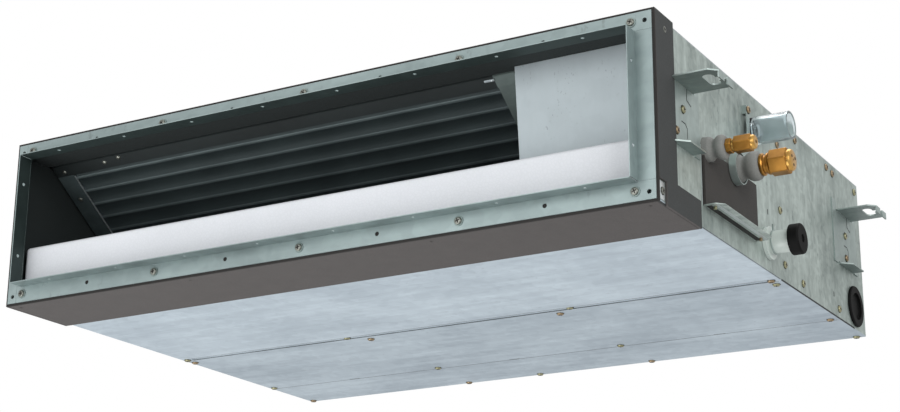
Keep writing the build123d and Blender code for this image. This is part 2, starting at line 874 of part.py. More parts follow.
# Pipe cover behind the window, with foam that fills it and a ledge that sticks out below
cover_x = inside_x - seat_gap
cover_y = (behind(window_behind - cover_margin), behind(window_behind + window_width + cover_margin))
window_y = (behind(window_behind) + seat_gap, behind(window_behind + window_width) - seat_gap)
ledge_x = side + cover_ledge_out
ledge_z = window_bottom + seat_gap
ledge_screw_inset = 10
with BuildPart() as pipe_cover:
    plate((cover_x - sheet, cover_x), cover_y, (ledge_z, pipe_height + 18))
    with BuildSketch(along_z(ledge_z)):
        with BuildLine():
            Polyline(
                (cover_x - sheet, window_y[0]),
                (ledge_x - cover_ledge_chamfer, window_y[0]),
                (ledge_x, window_y[0] + cover_ledge_chamfer),
                (ledge_x, window_y[1] - cover_ledge_chamfer),
                (ledge_x - cover_ledge_chamfer, window_y[1]),
                (cover_x - sheet, window_y[1]),
                close=True,
            )
        make_face()
    extrude(amount=sheet)
    cover_screws = [
        (side + 9, window_y[0] + ledge_screw_inset),
        (side + 9, window_y[1] - ledge_screw_inset),
    ]
    holes(along_z(ledge_z - 1), cover_screws, screw_hole_r, 3)
    # Foam sheet on its outer face
    plate(
        (cover_x + 0.1, side + cover_foam_proud),
        window_y,
        (ledge_z + sheet + 0.1, window_top - seat_gap),
    )
    # Room for the two pipe sleeves
    for far, sleeve_r in ((liquid_behind, sleeve_r_liquid), (gas_behind, sleeve_r_gas)):
        cover_notch = along_x(cover_x - 2 * sheet, behind(far), pipe_height)
        rod(cover_notch, sleeve_r + seat_gap, cover_foam_proud + 5 * sheet, Mode.SUBTRACT)
save(pipe_cover, "pipe_cover")

# Strap that holds the gas line's foam to the wall
with BuildPart() as pipe_strap:
    strap_x = side + 4
    ring_r = sleeve_r_gas + seat_gap
    rod(along_x(strap_x, behind(gas_behind), pipe_height), ring_r + 1.2, 8)
    with BuildSketch(along_x(strap_x)):
        with BuildLine():
            Polyline(
                (behind(strap_behind - 4), strap_screw_height + 5),
                (behind(strap_behind - 4), strap_screw_height - 27),
                (behind(gas_behind + 8), pipe_height + 14),
                (behind(gas_behind + 16), pipe_height + 9),
                (behind(strap_behind + 4), strap_screw_height - 30),
                (behind(strap_behind + 4), strap_screw_height + 5),
                close=True,
            )
        make_face()
    extrude(amount=1.2)
    plate((side, strap_x + 1.2), (behind(strap_behind - 4), behind(strap_behind + 4)),
          (strap_screw_height - 5, strap_screw_height + 5))
    rod(along_x(side - 1, behind(gas_behind), pipe_height), ring_r, 20, Mode.SUBTRACT)
    rod(along_x(side - 1, behind(strap_behind), strap_screw_height), screw_hole_r, 8, Mode.SUBTRACT)
save(pipe_strap, "pipe_strap")

# Clear socket of the pumped drain, and the hose that feeds it
with BuildPart() as drain_socket:
    axis = (behind(socket_behind), socket_height)
    neck_r = hose_r - 2.0
    rod(along_x(side - 24, *axis), neck_r, 24 + 8)
    rod(along_x(side + 5, *axis), socket_r, socket_out - 5)
    rod(along_x(side + 8, *axis), socket_r - socket_wall, socket_out, Mode.SUBTRACT)
    rod(along_x(side - 25, *axis), neck_r - 1.6, 60, Mode.SUBTRACT)
save(drain_socket, "drain_socket")

nozzle_end = pump_x + pump_body_r + 24
with BuildPart() as drain_hose:
    hose_start = pump_x + pump_body_r + 3
    rod(along_x(hose_start, *axis), hose_r, side + 4.7 - hose_start)
    rod(along_x(hose_start - 1, *axis), neck_r + 0.1, side + 7 - hose_start, Mode.SUBTRACT)
save(drain_hose, "drain_hose")

# Gravity drain port through the pan's wall and the side plate, with its rubber cap
with BuildPart() as drain_port:
    axis = (behind(port_behind), port_height)
    port_end = side + cap_start + cap_depth - seat_gap
    rod(along_x(pan_inner_x - seat_gap - 2, *axis), port_r + 2.5, 2)
    rod(along_x(pan_inner_x - seat_gap - 2, *axis), port_r, port_end - pan_inner_x + seat_gap + 2)
    rod(along_x(side + seat_gap, *axis), port_flange_r, 4)
    rod(along_x(pan_inner_x - 4, *axis), port_r - port_wall, port_bore_length, Mode.SUBTRACT)
save(drain_port, "drain_port")

with BuildPart() as drain_cap:
    rod(along_x(side + cap_start, *axis), cap_r, cap_length)
    chamfer(drain_cap.faces().sort_by(Axis.X)[-1].edges(), 1.5)
    rod(along_x(side + cap_start - 1, *axis), port_r + running_gap, cap_depth + 1, Mode.SUBTRACT)
    rod(along_x(side + cap_start + cap_length - 2, *axis), cap_dimple_r, 3, Mode.SUBTRACT)
save(drain_cap, "drain_cap")

# Drain pump: motor can, neck and open pump cup in one moulding, with the outlet nozzle
pump_axis = (pump_x, behind(pump_behind))
cup_bottom = pan_floor - 3
cup_top = cup_bottom + pump_cup_height
with BuildPart() as drain_pump:
    rod(along_z(pump_body_bottom, *pump_axis), pump_body_r, pump_body_top - pump_body_bottom)
    rod(along_z(cup_top - cup_wall, *pump_axis), pump_neck_r, pump_body_bottom - cup_top + 2 * cup_wall)
    rod(along_z(cup_bottom, *pump_axis), pump_cup_r, pump_cup_height)
    rod(along_z(cup_bottom, *pump_axis), pump_cup_r - cup_wall, pump_cup_height - cup_wall,
        Mode.SUBTRACT)
    rod(along_z(cup_bottom, *pump_axis), impeller_shaft_r + running_gap,
        pump_body_bottom + 20 - cup_bottom, Mode.SUBTRACT)
    rod(along_x(pump_x, pump_axis[1], socket_height), neck_r, nozzle_end - pump_x)
    rod(along_x(pump_x + 12, pump_axis[1], socket_height), neck_r - 1.6, 60, Mode.SUBTRACT)
save(drain_pump, "drain_pump")

with BuildPart() as pump_impeller:
    vane_low = cup_bottom + 1.5
    vane_top = cup_top - cup_wall - 1.5
    rod(along_z(vane_top - 1.5, *pump_axis), impeller_r, 1.5)
    rod(along_z(vane_low, *pump_axis), impeller_shaft_r, pump_body_bottom + 18 - vane_low)
    with BuildSketch(along_z(vane_low, *pump_axis)):
        with PolarLocations(impeller_r / 2, 6):
            Rectangle(impeller_r - 1, 1.5)
    extrude(amount=vane_top - vane_low)
save(pump_impeller, "pump_impeller")

with BuildPart() as pump_bracket:
    bracket_z = pump_body_top + seat_gap
    bracket_x = (float_x - 12, pump_x + pump_body_r + 10)
    bracket_front = behind(pump_behind - pump_body_r - 1)
    plate(bracket_x, (bracket_front, deck_y - seat_gap), (bracket_z, bracket_z + 1.5))
    plate(bracket_x, (deck_y - seat_gap - 1.5, deck_y - seat_gap), (bracket_z - 22, bracket_z))
    holes(along_z(bracket_z - 1), [(float_x, behind(float_behind))], stem_r + seat_gap, 4)
save(pump_bracket, "pump_bracket")

# Float switch: a stem with two stops, and a float that slides on it
float_axis = (float_x, behind(float_behind))
with BuildPart() as float_stem:
    rod(along_z(float_rest - 6, *float_axis), stem_r, bracket_z + 6 - float_rest + 6)
    rod(along_z(float_rest - seat_gap - 2, *float_axis), stem_r + 2, 2)
    rod(along_z(float_rest + float_height + float_travel + seat_gap, *float_axis), stem_r + 2, 2)
    rod(along_z(bracket_z + 1.5 + seat_gap, *float_axis), stem_r + 3, 4)
save(float_stem, "float_stem")

with BuildPart() as pan_float:
    rod(along_z(float_rest, *float_axis), float_r, float_height)
    chamfer(pan_float.edges(), 1.5)
    rod(along_z(float_rest - 1, *float_axis), stem_r + running_gap, float_height + 2, Mode.SUBTRACT)
save(pan_float, "pan_float")

# Rubber cable bush in the right side plate, closed by a thin membrane to cut open
with BuildPart() as cable_bush:
    axis = (behind(bush_behind), bush_height)
    rod(along_x(side + seat_gap, *axis), bush_r, bush_lip)
    chamfer(cable_bush.faces().sort_by(Axis.X)[-1].edges(), 1.2)
    rod(along_x(inside_x - seat_gap - 2, *axis), bush_r - 1, 2)
    rod(along_x(inside_x - seat_gap - 1, *axis), bush_hole_r - seat_gap, sheet + 2 * seat_gap + 2)
    rod(along_x(inside_x - seat_gap - 3, *axis), bush_opening_r, 20, Mode.SUBTRACT)
    rod(along_x(inside_x, *axis), bush_opening_r + 1, 1.2)
save(cable_bush, "cable_bush")


# Hanging brackets: web on the side plate, slotted ear near the top, short tab below
ear_half = ear_width / 2
with BuildPart() as hanger_brackets:
    for edge, (y, screws) in [(e, row) for e in (-1, 1) for row in zip(hanger_y, hanger_screws)]:
        # Web, with two horns beside the bent-out ear and relief cuts at every bend
        with BuildSketch(along_x(edge * side)):
            with Locations((y, (hanger_web_bottom + hanger_web_top) / 2)):
                Rectangle(hanger_web_width, hanger_web_top - hanger_web_bottom)
            with Locations((y, (ear_height + hanger_web_top) / 2 + 1)):
                Rectangle(ear_width + 5, hanger_web_top - ear_height + 2, mode=Mode.SUBTRACT)
            with Locations((y - ear_half - 1.25, ear_height), (y + ear_half + 1.25, ear_height)):
                Circle(2.5, mode=Mode.SUBTRACT)
            with Locations((y - ear_half, hanger_web_bottom), (y + ear_half, hanger_web_bottom)):
                Circle(2.5, mode=Mode.SUBTRACT)
            with Locations(*[(y + offset, z) for offset, z in screws]):
                Circle(screw_hole_r, mode=Mode.SUBTRACT)
        extrude(amount=edge * hanger_sheet)
        # Ear with a slot along Y that opens to the tip through a narrower mouth
        with BuildSketch(along_z(ear_height - hanger_sheet)):
            with BuildLine():
                Polyline(
                    (edge * side, y - ear_half),
                    (edge * (side + ear_out - ear_corner), y - ear_half),
                    (edge * (side + ear_out), y - ear_half + ear_corner),
                    (edge * (side + ear_out), y + ear_half - ear_corner),
                    (edge * (side + ear_out - ear_corner), y + ear_half),
                    (edge * side, y + ear_half),
                    close=True,
                )
            make_face()
            with Locations((edge * (side + slot_out), y)):
                SlotOverall(slot_length, slot_width, rotation=90, mode=Mode.SUBTRACT)
            with Locations((edge * (side + ear_out), y)):
                Rectangle(2 * (ear_out - slot_out), slot_mouth, mode=Mode.SUBTRACT)
        extrude(amount=hanger_sheet)
        # Stiffening lip at the tip, on both sides of the mouth
        for half in (-1, 1):
            plate(
                sorted((edge * (side + ear_out - hanger_sheet), edge * (side + ear_out))),
                sorted((y + half * slot_mouth / 2, y + half * (ear_half - ear_corner))),
                (ear_height - ear_lip_drop, ear_height - hanger_sheet),
            )
        # Lower tab, its front corner cut away
        with BuildSketch(along_z(hanger_web_bottom)):
            with BuildLine():
                Polyline(
                    (edge * side, y - ear_half + 2.5),
                    (edge * (side + 3), y - ear_half + 2.5),
                    (edge * (side + tab_out), y - ear_half + 14.5),
                    (edge * (side + tab_out), y + ear_half - 2.5),
                    (edge * side, y + ear_half - 2.5),
                    close=True,
                )
            make_face()
        extrude(amount=hanger_sheet)
save(hanger_brackets, "hanger_brackets")

# Fan deck: the wall between the coil and the fans, with an outlet for each scroll
throat_low = fan_height + scroll_tongue_rise
scroll_top = fan_height - scroll_step / 2 + scroll_start_r + 3 * scroll_step
deck_half = chamber_x - seat_gap
with BuildPart() as fan_deck:
    ledge_half = side - bottom_ledge - panel_gap
    deck_low = 2 * sheet + seat_gap
    plate((-deck_half, deck_half), (deck_y, deck_back), (deck_low, roof - seat_gap))
    plate((-ledge_half, ledge_half), (deck_y - 10, deck_y), (deck_low, deck_low + deck_sheet))
    plate((-ledge_half, ledge_half), (deck_y + panel_gap, deck_back + 18),
          (sheet + seat_gap, deck_low + deck_sheet))
    for edge in (-1, 1):
        plate(
            sorted((edge * deck_half, edge * (deck_half - deck_sheet))),
            (deck_back, deck_back + 16),
            (deck_low, casing_height - top_flange_drop - seat_gap),
        )
    with BuildSketch(along_y(deck_y)):
        with Locations(*[(-x, (throat_low + scroll_top) / 2) for x in fan_x]):
            Rectangle(scroll_width - 2 * scroll_wall, scroll_top - throat_low)
    extrude(amount=deck_sheet, mode=Mode.SUBTRACT)
    for row in (joggle_row, deck_row):
        places = [(x, behind(row)) for x in bottom_screw_rows[row] if abs(x) < ledge_half]
        holes(along_z(0), places, screw_hole_r, 8)
    flange_places = [(behind(b), z) for b, z in side_screw_places if 0 < b - seam_front < 17]
    for edge in (-1, 1):
        holes(along_x(edge * (deck_half - 3)), flange_places, screw_hole_r, edge * 6)
save(fan_deck, "fan_deck")


def volute(x, grow, depth_limit):
    """The scroll's section: quarter arcs from the tongue round to the outlet, grown outwards."""
    half = scroll_step / 2
    low_y, low_z = fan_y + half, fan_height - half
    r1 = scroll_start_r + grow
    tongue_y = low_y - scroll_start_r - scroll_tongue_r
    tongue_z = throat_low - scroll_tongue_r
    inner_tongue = scroll_tongue_r - grow
    with BuildSketch(along_x(x)) as outline:
        with BuildLine():
            Line((depth_limit, throat_low - grow), (tongue_y, throat_low - grow))
            CenterArc((tongue_y, tongue_z), inner_tongue, 90, -90)
            Line((tongue_y + inner_tongue, tongue_z), (low_y - r1, low_z))
            CenterArc((low_y, low_z), r1, 180, 90)
            CenterArc((low_y, low_z + scroll_step), r1 + scroll_step, 270, 90)
            CenterArc((low_y - scroll_step, low_z + scroll_step), r1 + 2 * scroll_step, 0, 90)
            Line((low_y - scroll_step, scroll_top + grow), (depth_limit, scroll_top + grow))
            Line((depth_limit, scroll_top + grow), (depth_limit, throat_low - grow))
        make_face()
    return outline.sketch


def scroll_housing(x, upper):
    """Half of a fan housing, split at the height of the shaft."""
    start = x - scroll_width / 2
    outlet_y = deck_back + seat_gap
    with BuildPart() as housing:
        extrude(volute(start, scroll_wall, outlet_y), amount=scroll_width)
        if upper:
            plate(
                (start - 8, start + scroll_width + 8),
                (outlet_y, outlet_y + scroll_wall),
                (throat_low - 9, scroll_top + 9),
            )
        extrude(
            volute(start + scroll_wall, 0, outlet_y - 1),
            amount=scroll_width - 2 * scroll_wall,
            mode=Mode.SUBTRACT,
        )
        # Bell mouths that curl out round both air inlets
        for hand in (-1, 1):
            face = x + hand * scroll_width / 2
            rod(along_x(face, fan_y, fan_height), scroll_mouth_r + 6, hand * 4)
            with BuildSketch(Plane.XY.offset(fan_height)):
                with BuildLine():
                    Polyline(
                        (face - hand * (scroll_wall + 1), fan_y),
                        (face - hand * (scroll_wall + 1), fan_y + scroll_mouth_r),
                        (face - hand * scroll_wall, fan_y + scroll_mouth_r),
                    )
                    Spline(
                        (face - hand * scroll_wall, fan_y + scroll_mouth_r),
                        (face + hand * 4, fan_y + scroll_mouth_r + 4),
                        tangents=((hand, 0, 0), (hand * 0.5, 1, 0)),
                    )
                    Polyline(
                        (face + hand * 4, fan_y + scroll_mouth_r + 4),
                        (face + hand * 5, fan_y + scroll_mouth_r + 4),
                        (face + hand * 5, fan_y),
                        (face - hand * (scroll_wall + 1), fan_y),
                    )
                make_face()
            revolve(axis=Axis((0, fan_y, fan_height), (1, 0, 0)), mode=Mode.SUBTRACT)
        # Keep one half, and leave a hair's gap at the split
        split = seat_gap / 2
        keep = (fan_height + split, casing_height) if upper else (0, fan_height - split)
        plate((start - 20, start + scroll_width + 20), (deck_back, back), keep, Mode.INTERSECT)
    return housing


for x, hand in zip(fan_x, ("left", "right")):
    save(scroll_housing(x, True), f"scroll_upper_{hand}")
    save(scroll_housing(x, False), f"scroll_lower_{hand}")

# Fan wheels: a ring of forward-curved blades held by end rings and a middle disc
def fan_wheel(x):
    """One fan wheel centred on X, with its hub on the motor shaft."""
    start = x - wheel_length / 2
    with BuildPart() as wheel:
        with BuildSketch(along_x(start, fan_y, fan_height)):
            with BuildSketch(mode=Mode.PRIVATE) as blade:
                Circle(wheel_r - 0.3)
                Circle(wheel_inner_r, mode=Mode.SUBTRACT)
                with BuildSketch(mode=Mode.PRIVATE) as camber:
                    with Locations((wheel_inner_r + 3, blade_camber_r - 1)):
                        Circle(blade_camber_r + blade_thickness / 2)
                        Circle(blade_camber_r - blade_thickness / 2, mode=Mode.SUBTRACT)
                    with Locations((wheel_inner_r + 6, 0)):
                        Rectangle(30, 12, mode=Mode.INTERSECT)
                add(camber.sketch, mode=Mode.INTERSECT)
            with PolarLocations(0, blade_count):
                add(blade.sketch)
        extrude(amount=wheel_length)
        for ring_x in (start, start + wheel_length - wheel_ring):
            with BuildSketch(along_x(ring_x, fan_y, fan_height)):
                Circle(wheel_r)
                Circle(wheel_inner_r - 1, mode=Mode.SUBTRACT)
            extrude(amount=wheel_ring)
        rod(along_x(x - 1, fan_y, fan_height), wheel_r, 2)
        rod(along_x(x - hub_length / 2, fan_y, fan_height), hub_r, hub_length)
        rod(along_x(x - hub_length, fan_y, fan_height), shaft_r + 0.03, 2 * hub_length, Mode.SUBTRACT)
    return wheel


for x, hand in zip(fan_x, ("left", "right")):
    save(fan_wheel(x), f"fan_wheel_{hand}")

# Fan motor: two cups round a stator, a rotor on the shaft, and a bearing at each end
with BuildPart() as motor_rotor:
    reach = fan_half_pitch + hub_length / 2 + 4
    rod(along_x(fan_middle_x - reach, fan_y, fan_height), shaft_r, 2 * reach)
    rod(along_x(fan_middle_x - stator_length / 2, fan_y, fan_height), rotor_r, stator_length)
save(motor_rotor, "motor_rotor")

with BuildPart() as motor_stator:
    slots = 12
    with BuildSketch(along_x(fan_middle_x - stator_length / 2, fan_y, fan_height)):
        Circle(motor_r - motor_wall - 0.1)
        Circle(rotor_r + air_gap, mode=Mode.SUBTRACT)
        with PolarLocations(rotor_r + air_gap + 4, slots):
            Rectangle(10, 4, mode=Mode.SUBTRACT)
    extrude(amount=stator_length)
    # End windings
    for hand in (-1, 1):
        start = fan_middle_x + hand * stator_length / 2
        with BuildSketch(along_x(start, fan_y, fan_height)):
            Circle(rotor_r + air_gap + 11)
            Circle(rotor_r + air_gap + 1, mode=Mode.SUBTRACT)
        extrude(amount=hand * 9)
save(motor_stator, "motor_stator")

with BuildPart() as motor_case:
    for hand in (-1, 1):
        end = fan_middle_x + hand * motor_length / 2
        seam = along_x(fan_middle_x + hand * seat_gap / 2, fan_y, fan_height)
        inner_end = along_x(end - hand * motor_wall, fan_y, fan_height)
        rod(seam, motor_r, hand * (motor_length / 2 - seat_gap / 2))
        rod(seam, motor_r + 3, hand * 2)
        rod(inner_end, motor_boss_r, hand * (motor_wall + motor_boss_length))
        rod(seam, motor_r - motor_wall, hand * (motor_length / 2 - motor_wall - seat_gap / 2),
            Mode.SUBTRACT)
        rod(inner_end, bearing_r + 0.02, hand * (motor_wall + motor_boss_length - 2), Mode.SUBTRACT)
        rod(along_x(end, fan_y, fan_height), shaft_r + 1, hand * 20, Mode.SUBTRACT)
save(motor_case, "motor_case")

with BuildPart() as motor_bearings:
    for hand in (-1, 1):
        outer = fan_middle_x + hand * (motor_length / 2 + motor_boss_length - 2.1)
        with BuildSketch(along_x(outer, fan_y, fan_height)):
            Circle(bearing_r)
            Circle(shaft_r + 0.04, mode=Mode.SUBTRACT)
        extrude(amount=-hand * bearing_width)
save(motor_bearings, "motor_bearings")

# Rubber rings, cradle and straps that hold the motor by its bosses
ring_middles = [
    fan_middle_x + hand * (motor_length + motor_boss_length) / 2 for hand in (-1, 1)
]
with BuildPart() as motor_rubber_rings:
    for middle in ring_middles:
        with BuildSketch(along_x(middle - motor_boss_length / 2 + 0.5, fan_y, fan_height)):
            Circle(rubber_r)
            Circle(motor_boss_r + 0.1, mode=Mode.SUBTRACT)
        extrude(amount=motor_boss_length - 1)
save(motor_rubber_rings, "motor_rubber_rings")

with BuildPart() as motor_cradle:
    foot_y = deck_back + seat_gap
    plate(
        (ring_middles[0] - cradle_sheet / 2, ring_middles[1] + cradle_sheet / 2),
        (foot_y, foot_y + cradle_sheet),
        (fan_height - 36, fan_height + 36),
    )
    for middle in ring_middles:
        with BuildSketch(along_x(middle - cradle_sheet / 2)):
            with BuildLine():
                Polyline(
                    (foot_y, fan_height - 36),
                    (fan_y, fan_height - rubber_r - 8),
                    (fan_y, fan_height + rubber_r + 8),
                    (foot_y, fan_height + 36),
                    close=True,
                )
            make_face()
            with Locations((fan_y, fan_height)):
                Circle(rubber_r + 0.15, mode=Mode.SUBTRACT)
        extrude(amount=cradle_sheet)
        for z in (fan_height - rubber_r - 8, fan_height + rubber_r + 8 - 6):
            plate(
                (middle - strap_width / 2, middle + strap_width / 2),
                (fan_y - cradle_sheet, fan_y),
                (z, z + 6),
            )
save(motor_cradle, "motor_cradle")

with BuildPart() as motor_straps:
    for middle in ring_middles:
        with BuildSketch(along_x(middle - strap_width / 2)):
            with Locations((fan_y, fan_height)):
                Circle(rubber_r + 1.65)
                Rectangle(3, 2 * (rubber_r + 8))
                Circle(rubber_r + 0.15, mode=Mode.SUBTRACT)
            with Locations((fan_y - 40 + seat_gap, fan_height)):
                Rectangle(80, 120, mode=Mode.SUBTRACT)
        extrude(amount=strap_width)
save(motor_straps, "motor_straps")

# Wall between the fans and the electrical compartment
chamber_wall_x = piping_wall_x + 5
with BuildPart() as fan_chamber_wall:
    wall_y = (deck_back + seat_gap, back - 12 * sheet)
    plate((chamber_wall_x, chamber_wall_x + sheet), wall_y, (deck_low + 1.5, roof - seat_gap))
    plate((chamber_wall_x, chamber_wall_x + 10), wall_y, (roof - seat_gap - sheet, roof - seat_gap))
save(fan_chamber_wall, "fan_chamber_wall")

# Rear inlet: a frame with a shallow channel that holds the filter
frame_y = back - sheet - seat_gap
inlet_z = (inlet_rim, casing_height - inlet_rim)
channel = filter_thickness + 2 * filter_gap
with BuildPart() as rear_inlet_frame:
    plate((-deck_half, chamber_wall_x), (frame_y - sheet, frame_y), (deck_low, roof - seat_gap))
    plate((-ledge_half, chamber_wall_x), (frame_y - 14, frame_y), (sheet + seat_gap, deck_low + sheet))
    plate(
        (inlet_left - sheet, inlet_right + sheet),
        (frame_y - channel - sheet, frame_y),
        (inlet_z[0] - sheet, inlet_z[1] + sheet),
    )
    plate((inlet_left, inlet_right), (frame_y - channel, frame_y + 1), inlet_z, Mode.SUBTRACT)
    plate(
        (inlet_left + 6, inlet_right - 6),
        (frame_y - 20, frame_y),
        (inlet_z[0] + 6, inlet_z[1] - 6),
        Mode.SUBTRACT,
    )
    rear_places = [(x, behind(rear_row)) for x in bottom_screw_rows[rear_row] if abs(x) < inlet_right]
    holes(along_z(0), rear_places, screw_hole_r, 6)
save(rear_inlet_frame, "rear_inlet_frame")

with BuildPart() as rear_closing_plate:
    closing_x = (chamber_wall_x + panel_gap, deck_half)
    plate(closing_x, (frame_y - sheet, frame_y), (deck_low, roof - seat_gap))
    plate((closing_x[0], ledge_half), (frame_y - 14, frame_y), (sheet + seat_gap, deck_low + sheet))
save(rear_closing_plate, "rear_closing_plate")

# Air filter: a plastic frame with ribs, and the net moulded into its inner face
filter_x = (inlet_left + filter_gap, inlet_right - filter_gap)
filter_z = (inlet_z[0] + filter_seat, inlet_z[1] - filter_gap)
filter_y = frame_y - filter_thickness - filter_gap
with BuildPart() as air_filter:
    plate(filter_x, (filter_y, filter_y + filter_thickness), filter_z)
    pane_w = (filter_x[1] - filter_x[0] - filter_bar) / filter_columns
    pane_h = (filter_z[1] - filter_z[0] - filter_bar) / 2
    with BuildSketch(along_y(filter_y + filter_mesh)):
        with Locations((-(filter_x[0] + filter_x[1]) / 2, (filter_z[0] + filter_z[1]) / 2)):
            with GridLocations(pane_w, pane_h, filter_columns, 2):
                Rectangle(pane_w - filter_bar, pane_h - filter_bar)
    extrude(amount=filter_thickness, mode=Mode.SUBTRACT)
save(air_filter, "air_filter")

# Electrical box with its cover, board and terminal block
box_right = inside_x - seat_gap
box_y = (behind(box_front_behind), behind(box_rear_behind))
with BuildPart() as electrical_box:
    plate((box_left, box_right), box_y, (box_bottom, box_top))
    plate(
        (box_left + sheet, box_right - sheet),
        (box_y[0] + sheet, box_y[1] - sheet),
        (box_bottom - 1, box_top - sheet),
        Mode.SUBTRACT,
    )
    holes(along_y(box_y[1] - 2 * sheet), [(-(box_left + 40), 40), (-(box_right - 40), 40)], 11, 4)
save(electrical_box, "electrical_box")

with BuildPart() as electrical_box_cover:
    plate((box_left, box_right), box_y, (box_bottom - seat_gap - sheet, box_bottom - seat_gap))
    for x in (box_left + sheet + seat_gap, box_right - 2 * sheet - seat_gap):
        plate(
            (x, x + sheet),
            (box_y[0] + 3, box_y[1] - 3),
            (box_bottom - seat_gap - sheet, box_bottom + 10),
        )
save(electrical_box_cover, "electrical_box_cover")

# Components under the board. Blocks: X and Y from the box's corner, width, depth, height
board_blocks = [
    (40, 45, 44, 38, 34), (100, 40, 24, 30, 20), (130, 60, 18, 40, 16),
    (36, 100, 30, 18, 14), (74, 108, 12, 30, 12), (110, 105, 40, 12, 10),
]
# Round cans: X and Y from the box's corner, radius, height
board_cans = [(75, 35, 9, 28), (75, 62, 6, 18), (100, 75, 6, 18)]
with BuildPart() as control_board:
    board_top = box_top - sheet - 6
    board_y = (box_y[0] + board_front_gap, box_y[0] + board_front_gap + board_length)
    plate(
        (box_left + 8, box_right - 10),
        board_y,
        (board_top - board_thickness, board_top),
    )
    for x in (box_left + 12, box_right - 14):
        for y in (board_y[0] + 5, board_y[1] - 5):
            rod(along_z(board_top, x, y), 2.5, 6 - seat_gap)
    low = board_top - board_thickness
    for x, y, w, d, h in board_blocks:
        plate(
            (box_left + x - w / 2, box_left + x + w / 2),
            (box_y[0] + y - d / 2, box_y[0] + y + d / 2),
            (low - h, low),
        )
    for x, y, r, h in board_cans:
        rod(along_z(low - h, box_left + x, box_y[0] + y), r, h)
save(control_board, "control_board")

with BuildPart() as terminal_block:
    block_y = box_y[1] - sheet - seat_gap
    plate((box_left + 54, box_right - 54), (block_y - 26, block_y), (70, 92))
    with BuildSketch(along_z(78)):
        with Locations(((box_left + box_right) / 2, block_y - 22)):
            with GridLocations(10, 1, 4, 1):
                Rectangle(7, 12)
    extrude(amount=20, mode=Mode.SUBTRACT)
save(terminal_block, "terminal_block")


def screw(plane, grip, washer=False):
    """A screw that starts under its head: shank through the sheets, head outside."""
    rod(plane, screw_r, grip)
    rod(plane, screw_head_r, -screw_head_height - (washer_thickness if washer else 0))
    if washer:
        rod(plane, washer_r, -washer_thickness)


with BuildPart() as flange_screws:
    for x in flange_screw_x:
        for z in flange_screw_z:
            screw(along_y(front - 0.05, x, z), screw_reach, True)
save(flange_screws, "flange_screws")

# All the other screws of the casing: side plates, brackets, bottom panels, pipe cover and strap
with BuildPart() as casing_screws:
    for edge in (-1, 1):
        for b, z in side_screw_places:
            grip = 3 if b > seam_front else 2
            screw(Plane(origin=(edge * (side + 0.05), behind(b), z), z_dir=(-edge, 0, 0)), grip)
        for y, z in hanger_screw_places:
            face = edge * (side + hanger_sheet + 0.05)
            screw(Plane(origin=(face, y, z), z_dir=(-edge, 0, 0)), 3.4)
    for distance, xs in bottom_screw_rows.items():
        for x in xs:
            raised = distance == joggle_row and abs(x) < tuck_half
            screw(along_z((sheet if raised else 0) - 0.05, x, behind(distance)), 4)
    for x, y in cover_screws:
        screw(Plane(origin=(x, y, ledge_z + sheet + 0.05), z_dir=(0, 0, -1)), 4)
    strap_screw = (strap_x + 1.25, behind(strap_behind), strap_screw_height)
    screw(Plane(origin=strap_screw, z_dir=(-1, 0, 0)), 9)
save(casing_screws, "casing_screws")
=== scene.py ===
"""Looks of a slim ducted air conditioner indoor unit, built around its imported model.

Lengths are in metres. A pair of numbers in a turned outline is a place along X and a radius.
"""

import json
import logging
import math
from collections.abc import Callable
from dataclasses import dataclass, field, replace
from enum import Enum
from functools import cache

import bmesh
import bpy
from mathutils import Matrix, Vector

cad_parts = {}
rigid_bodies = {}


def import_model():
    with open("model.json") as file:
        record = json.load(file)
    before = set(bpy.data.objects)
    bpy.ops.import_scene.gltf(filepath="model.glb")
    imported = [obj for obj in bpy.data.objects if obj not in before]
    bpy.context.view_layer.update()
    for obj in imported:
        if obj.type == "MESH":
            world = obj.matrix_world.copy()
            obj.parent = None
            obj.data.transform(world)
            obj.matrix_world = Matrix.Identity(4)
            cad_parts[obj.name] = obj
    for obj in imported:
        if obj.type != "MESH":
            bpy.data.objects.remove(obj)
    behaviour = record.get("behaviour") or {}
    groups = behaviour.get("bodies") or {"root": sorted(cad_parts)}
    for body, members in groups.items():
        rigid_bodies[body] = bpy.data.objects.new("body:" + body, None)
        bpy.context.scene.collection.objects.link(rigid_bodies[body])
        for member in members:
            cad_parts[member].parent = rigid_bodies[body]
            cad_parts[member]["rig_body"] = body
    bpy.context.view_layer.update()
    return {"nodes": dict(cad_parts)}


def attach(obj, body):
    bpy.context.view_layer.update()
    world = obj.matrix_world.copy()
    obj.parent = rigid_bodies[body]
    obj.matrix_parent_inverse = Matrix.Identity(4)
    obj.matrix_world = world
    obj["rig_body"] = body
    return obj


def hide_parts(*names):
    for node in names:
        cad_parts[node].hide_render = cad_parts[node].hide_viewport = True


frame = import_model()
log = logging.getLogger("indoor_unit")

# The casing's front face, half its width and its height
FRONT = -0.3225
SIDE = 0.4225
HEIGHT = 0.2
# How far a thin mark reaches into the face that carries it
MARK_DEPTH = 0.0002
# Corners closer than this are one: in a copied mesh, and along a cut
JOIN_DISTANCE = 0.00001
CUT_DISTANCE = 0.000001
# How many sides a turned shape has
LATHE_SIDES = 48
# The share of a face's normal that has to point one way for the face to look that way
LOOKING = 0.7
ALONG_X = Matrix.Rotation(math.pi / 2, 4, "Y")
ALONG_Y = Matrix.Rotation(math.pi / 2, 4, "X")

Color = tuple[float, float, float]
Point = tuple[float, float, float]
Pair = tuple[float, float]
Pairs = tuple[Pair, ...]
Block = tuple[Point, Point]
Mesh = bmesh.types.BMesh
Verts = list[bmesh.types.BMVert]
Edges = list[bmesh.types.BMEdge]
Socket = bpy.types.NodeSocket


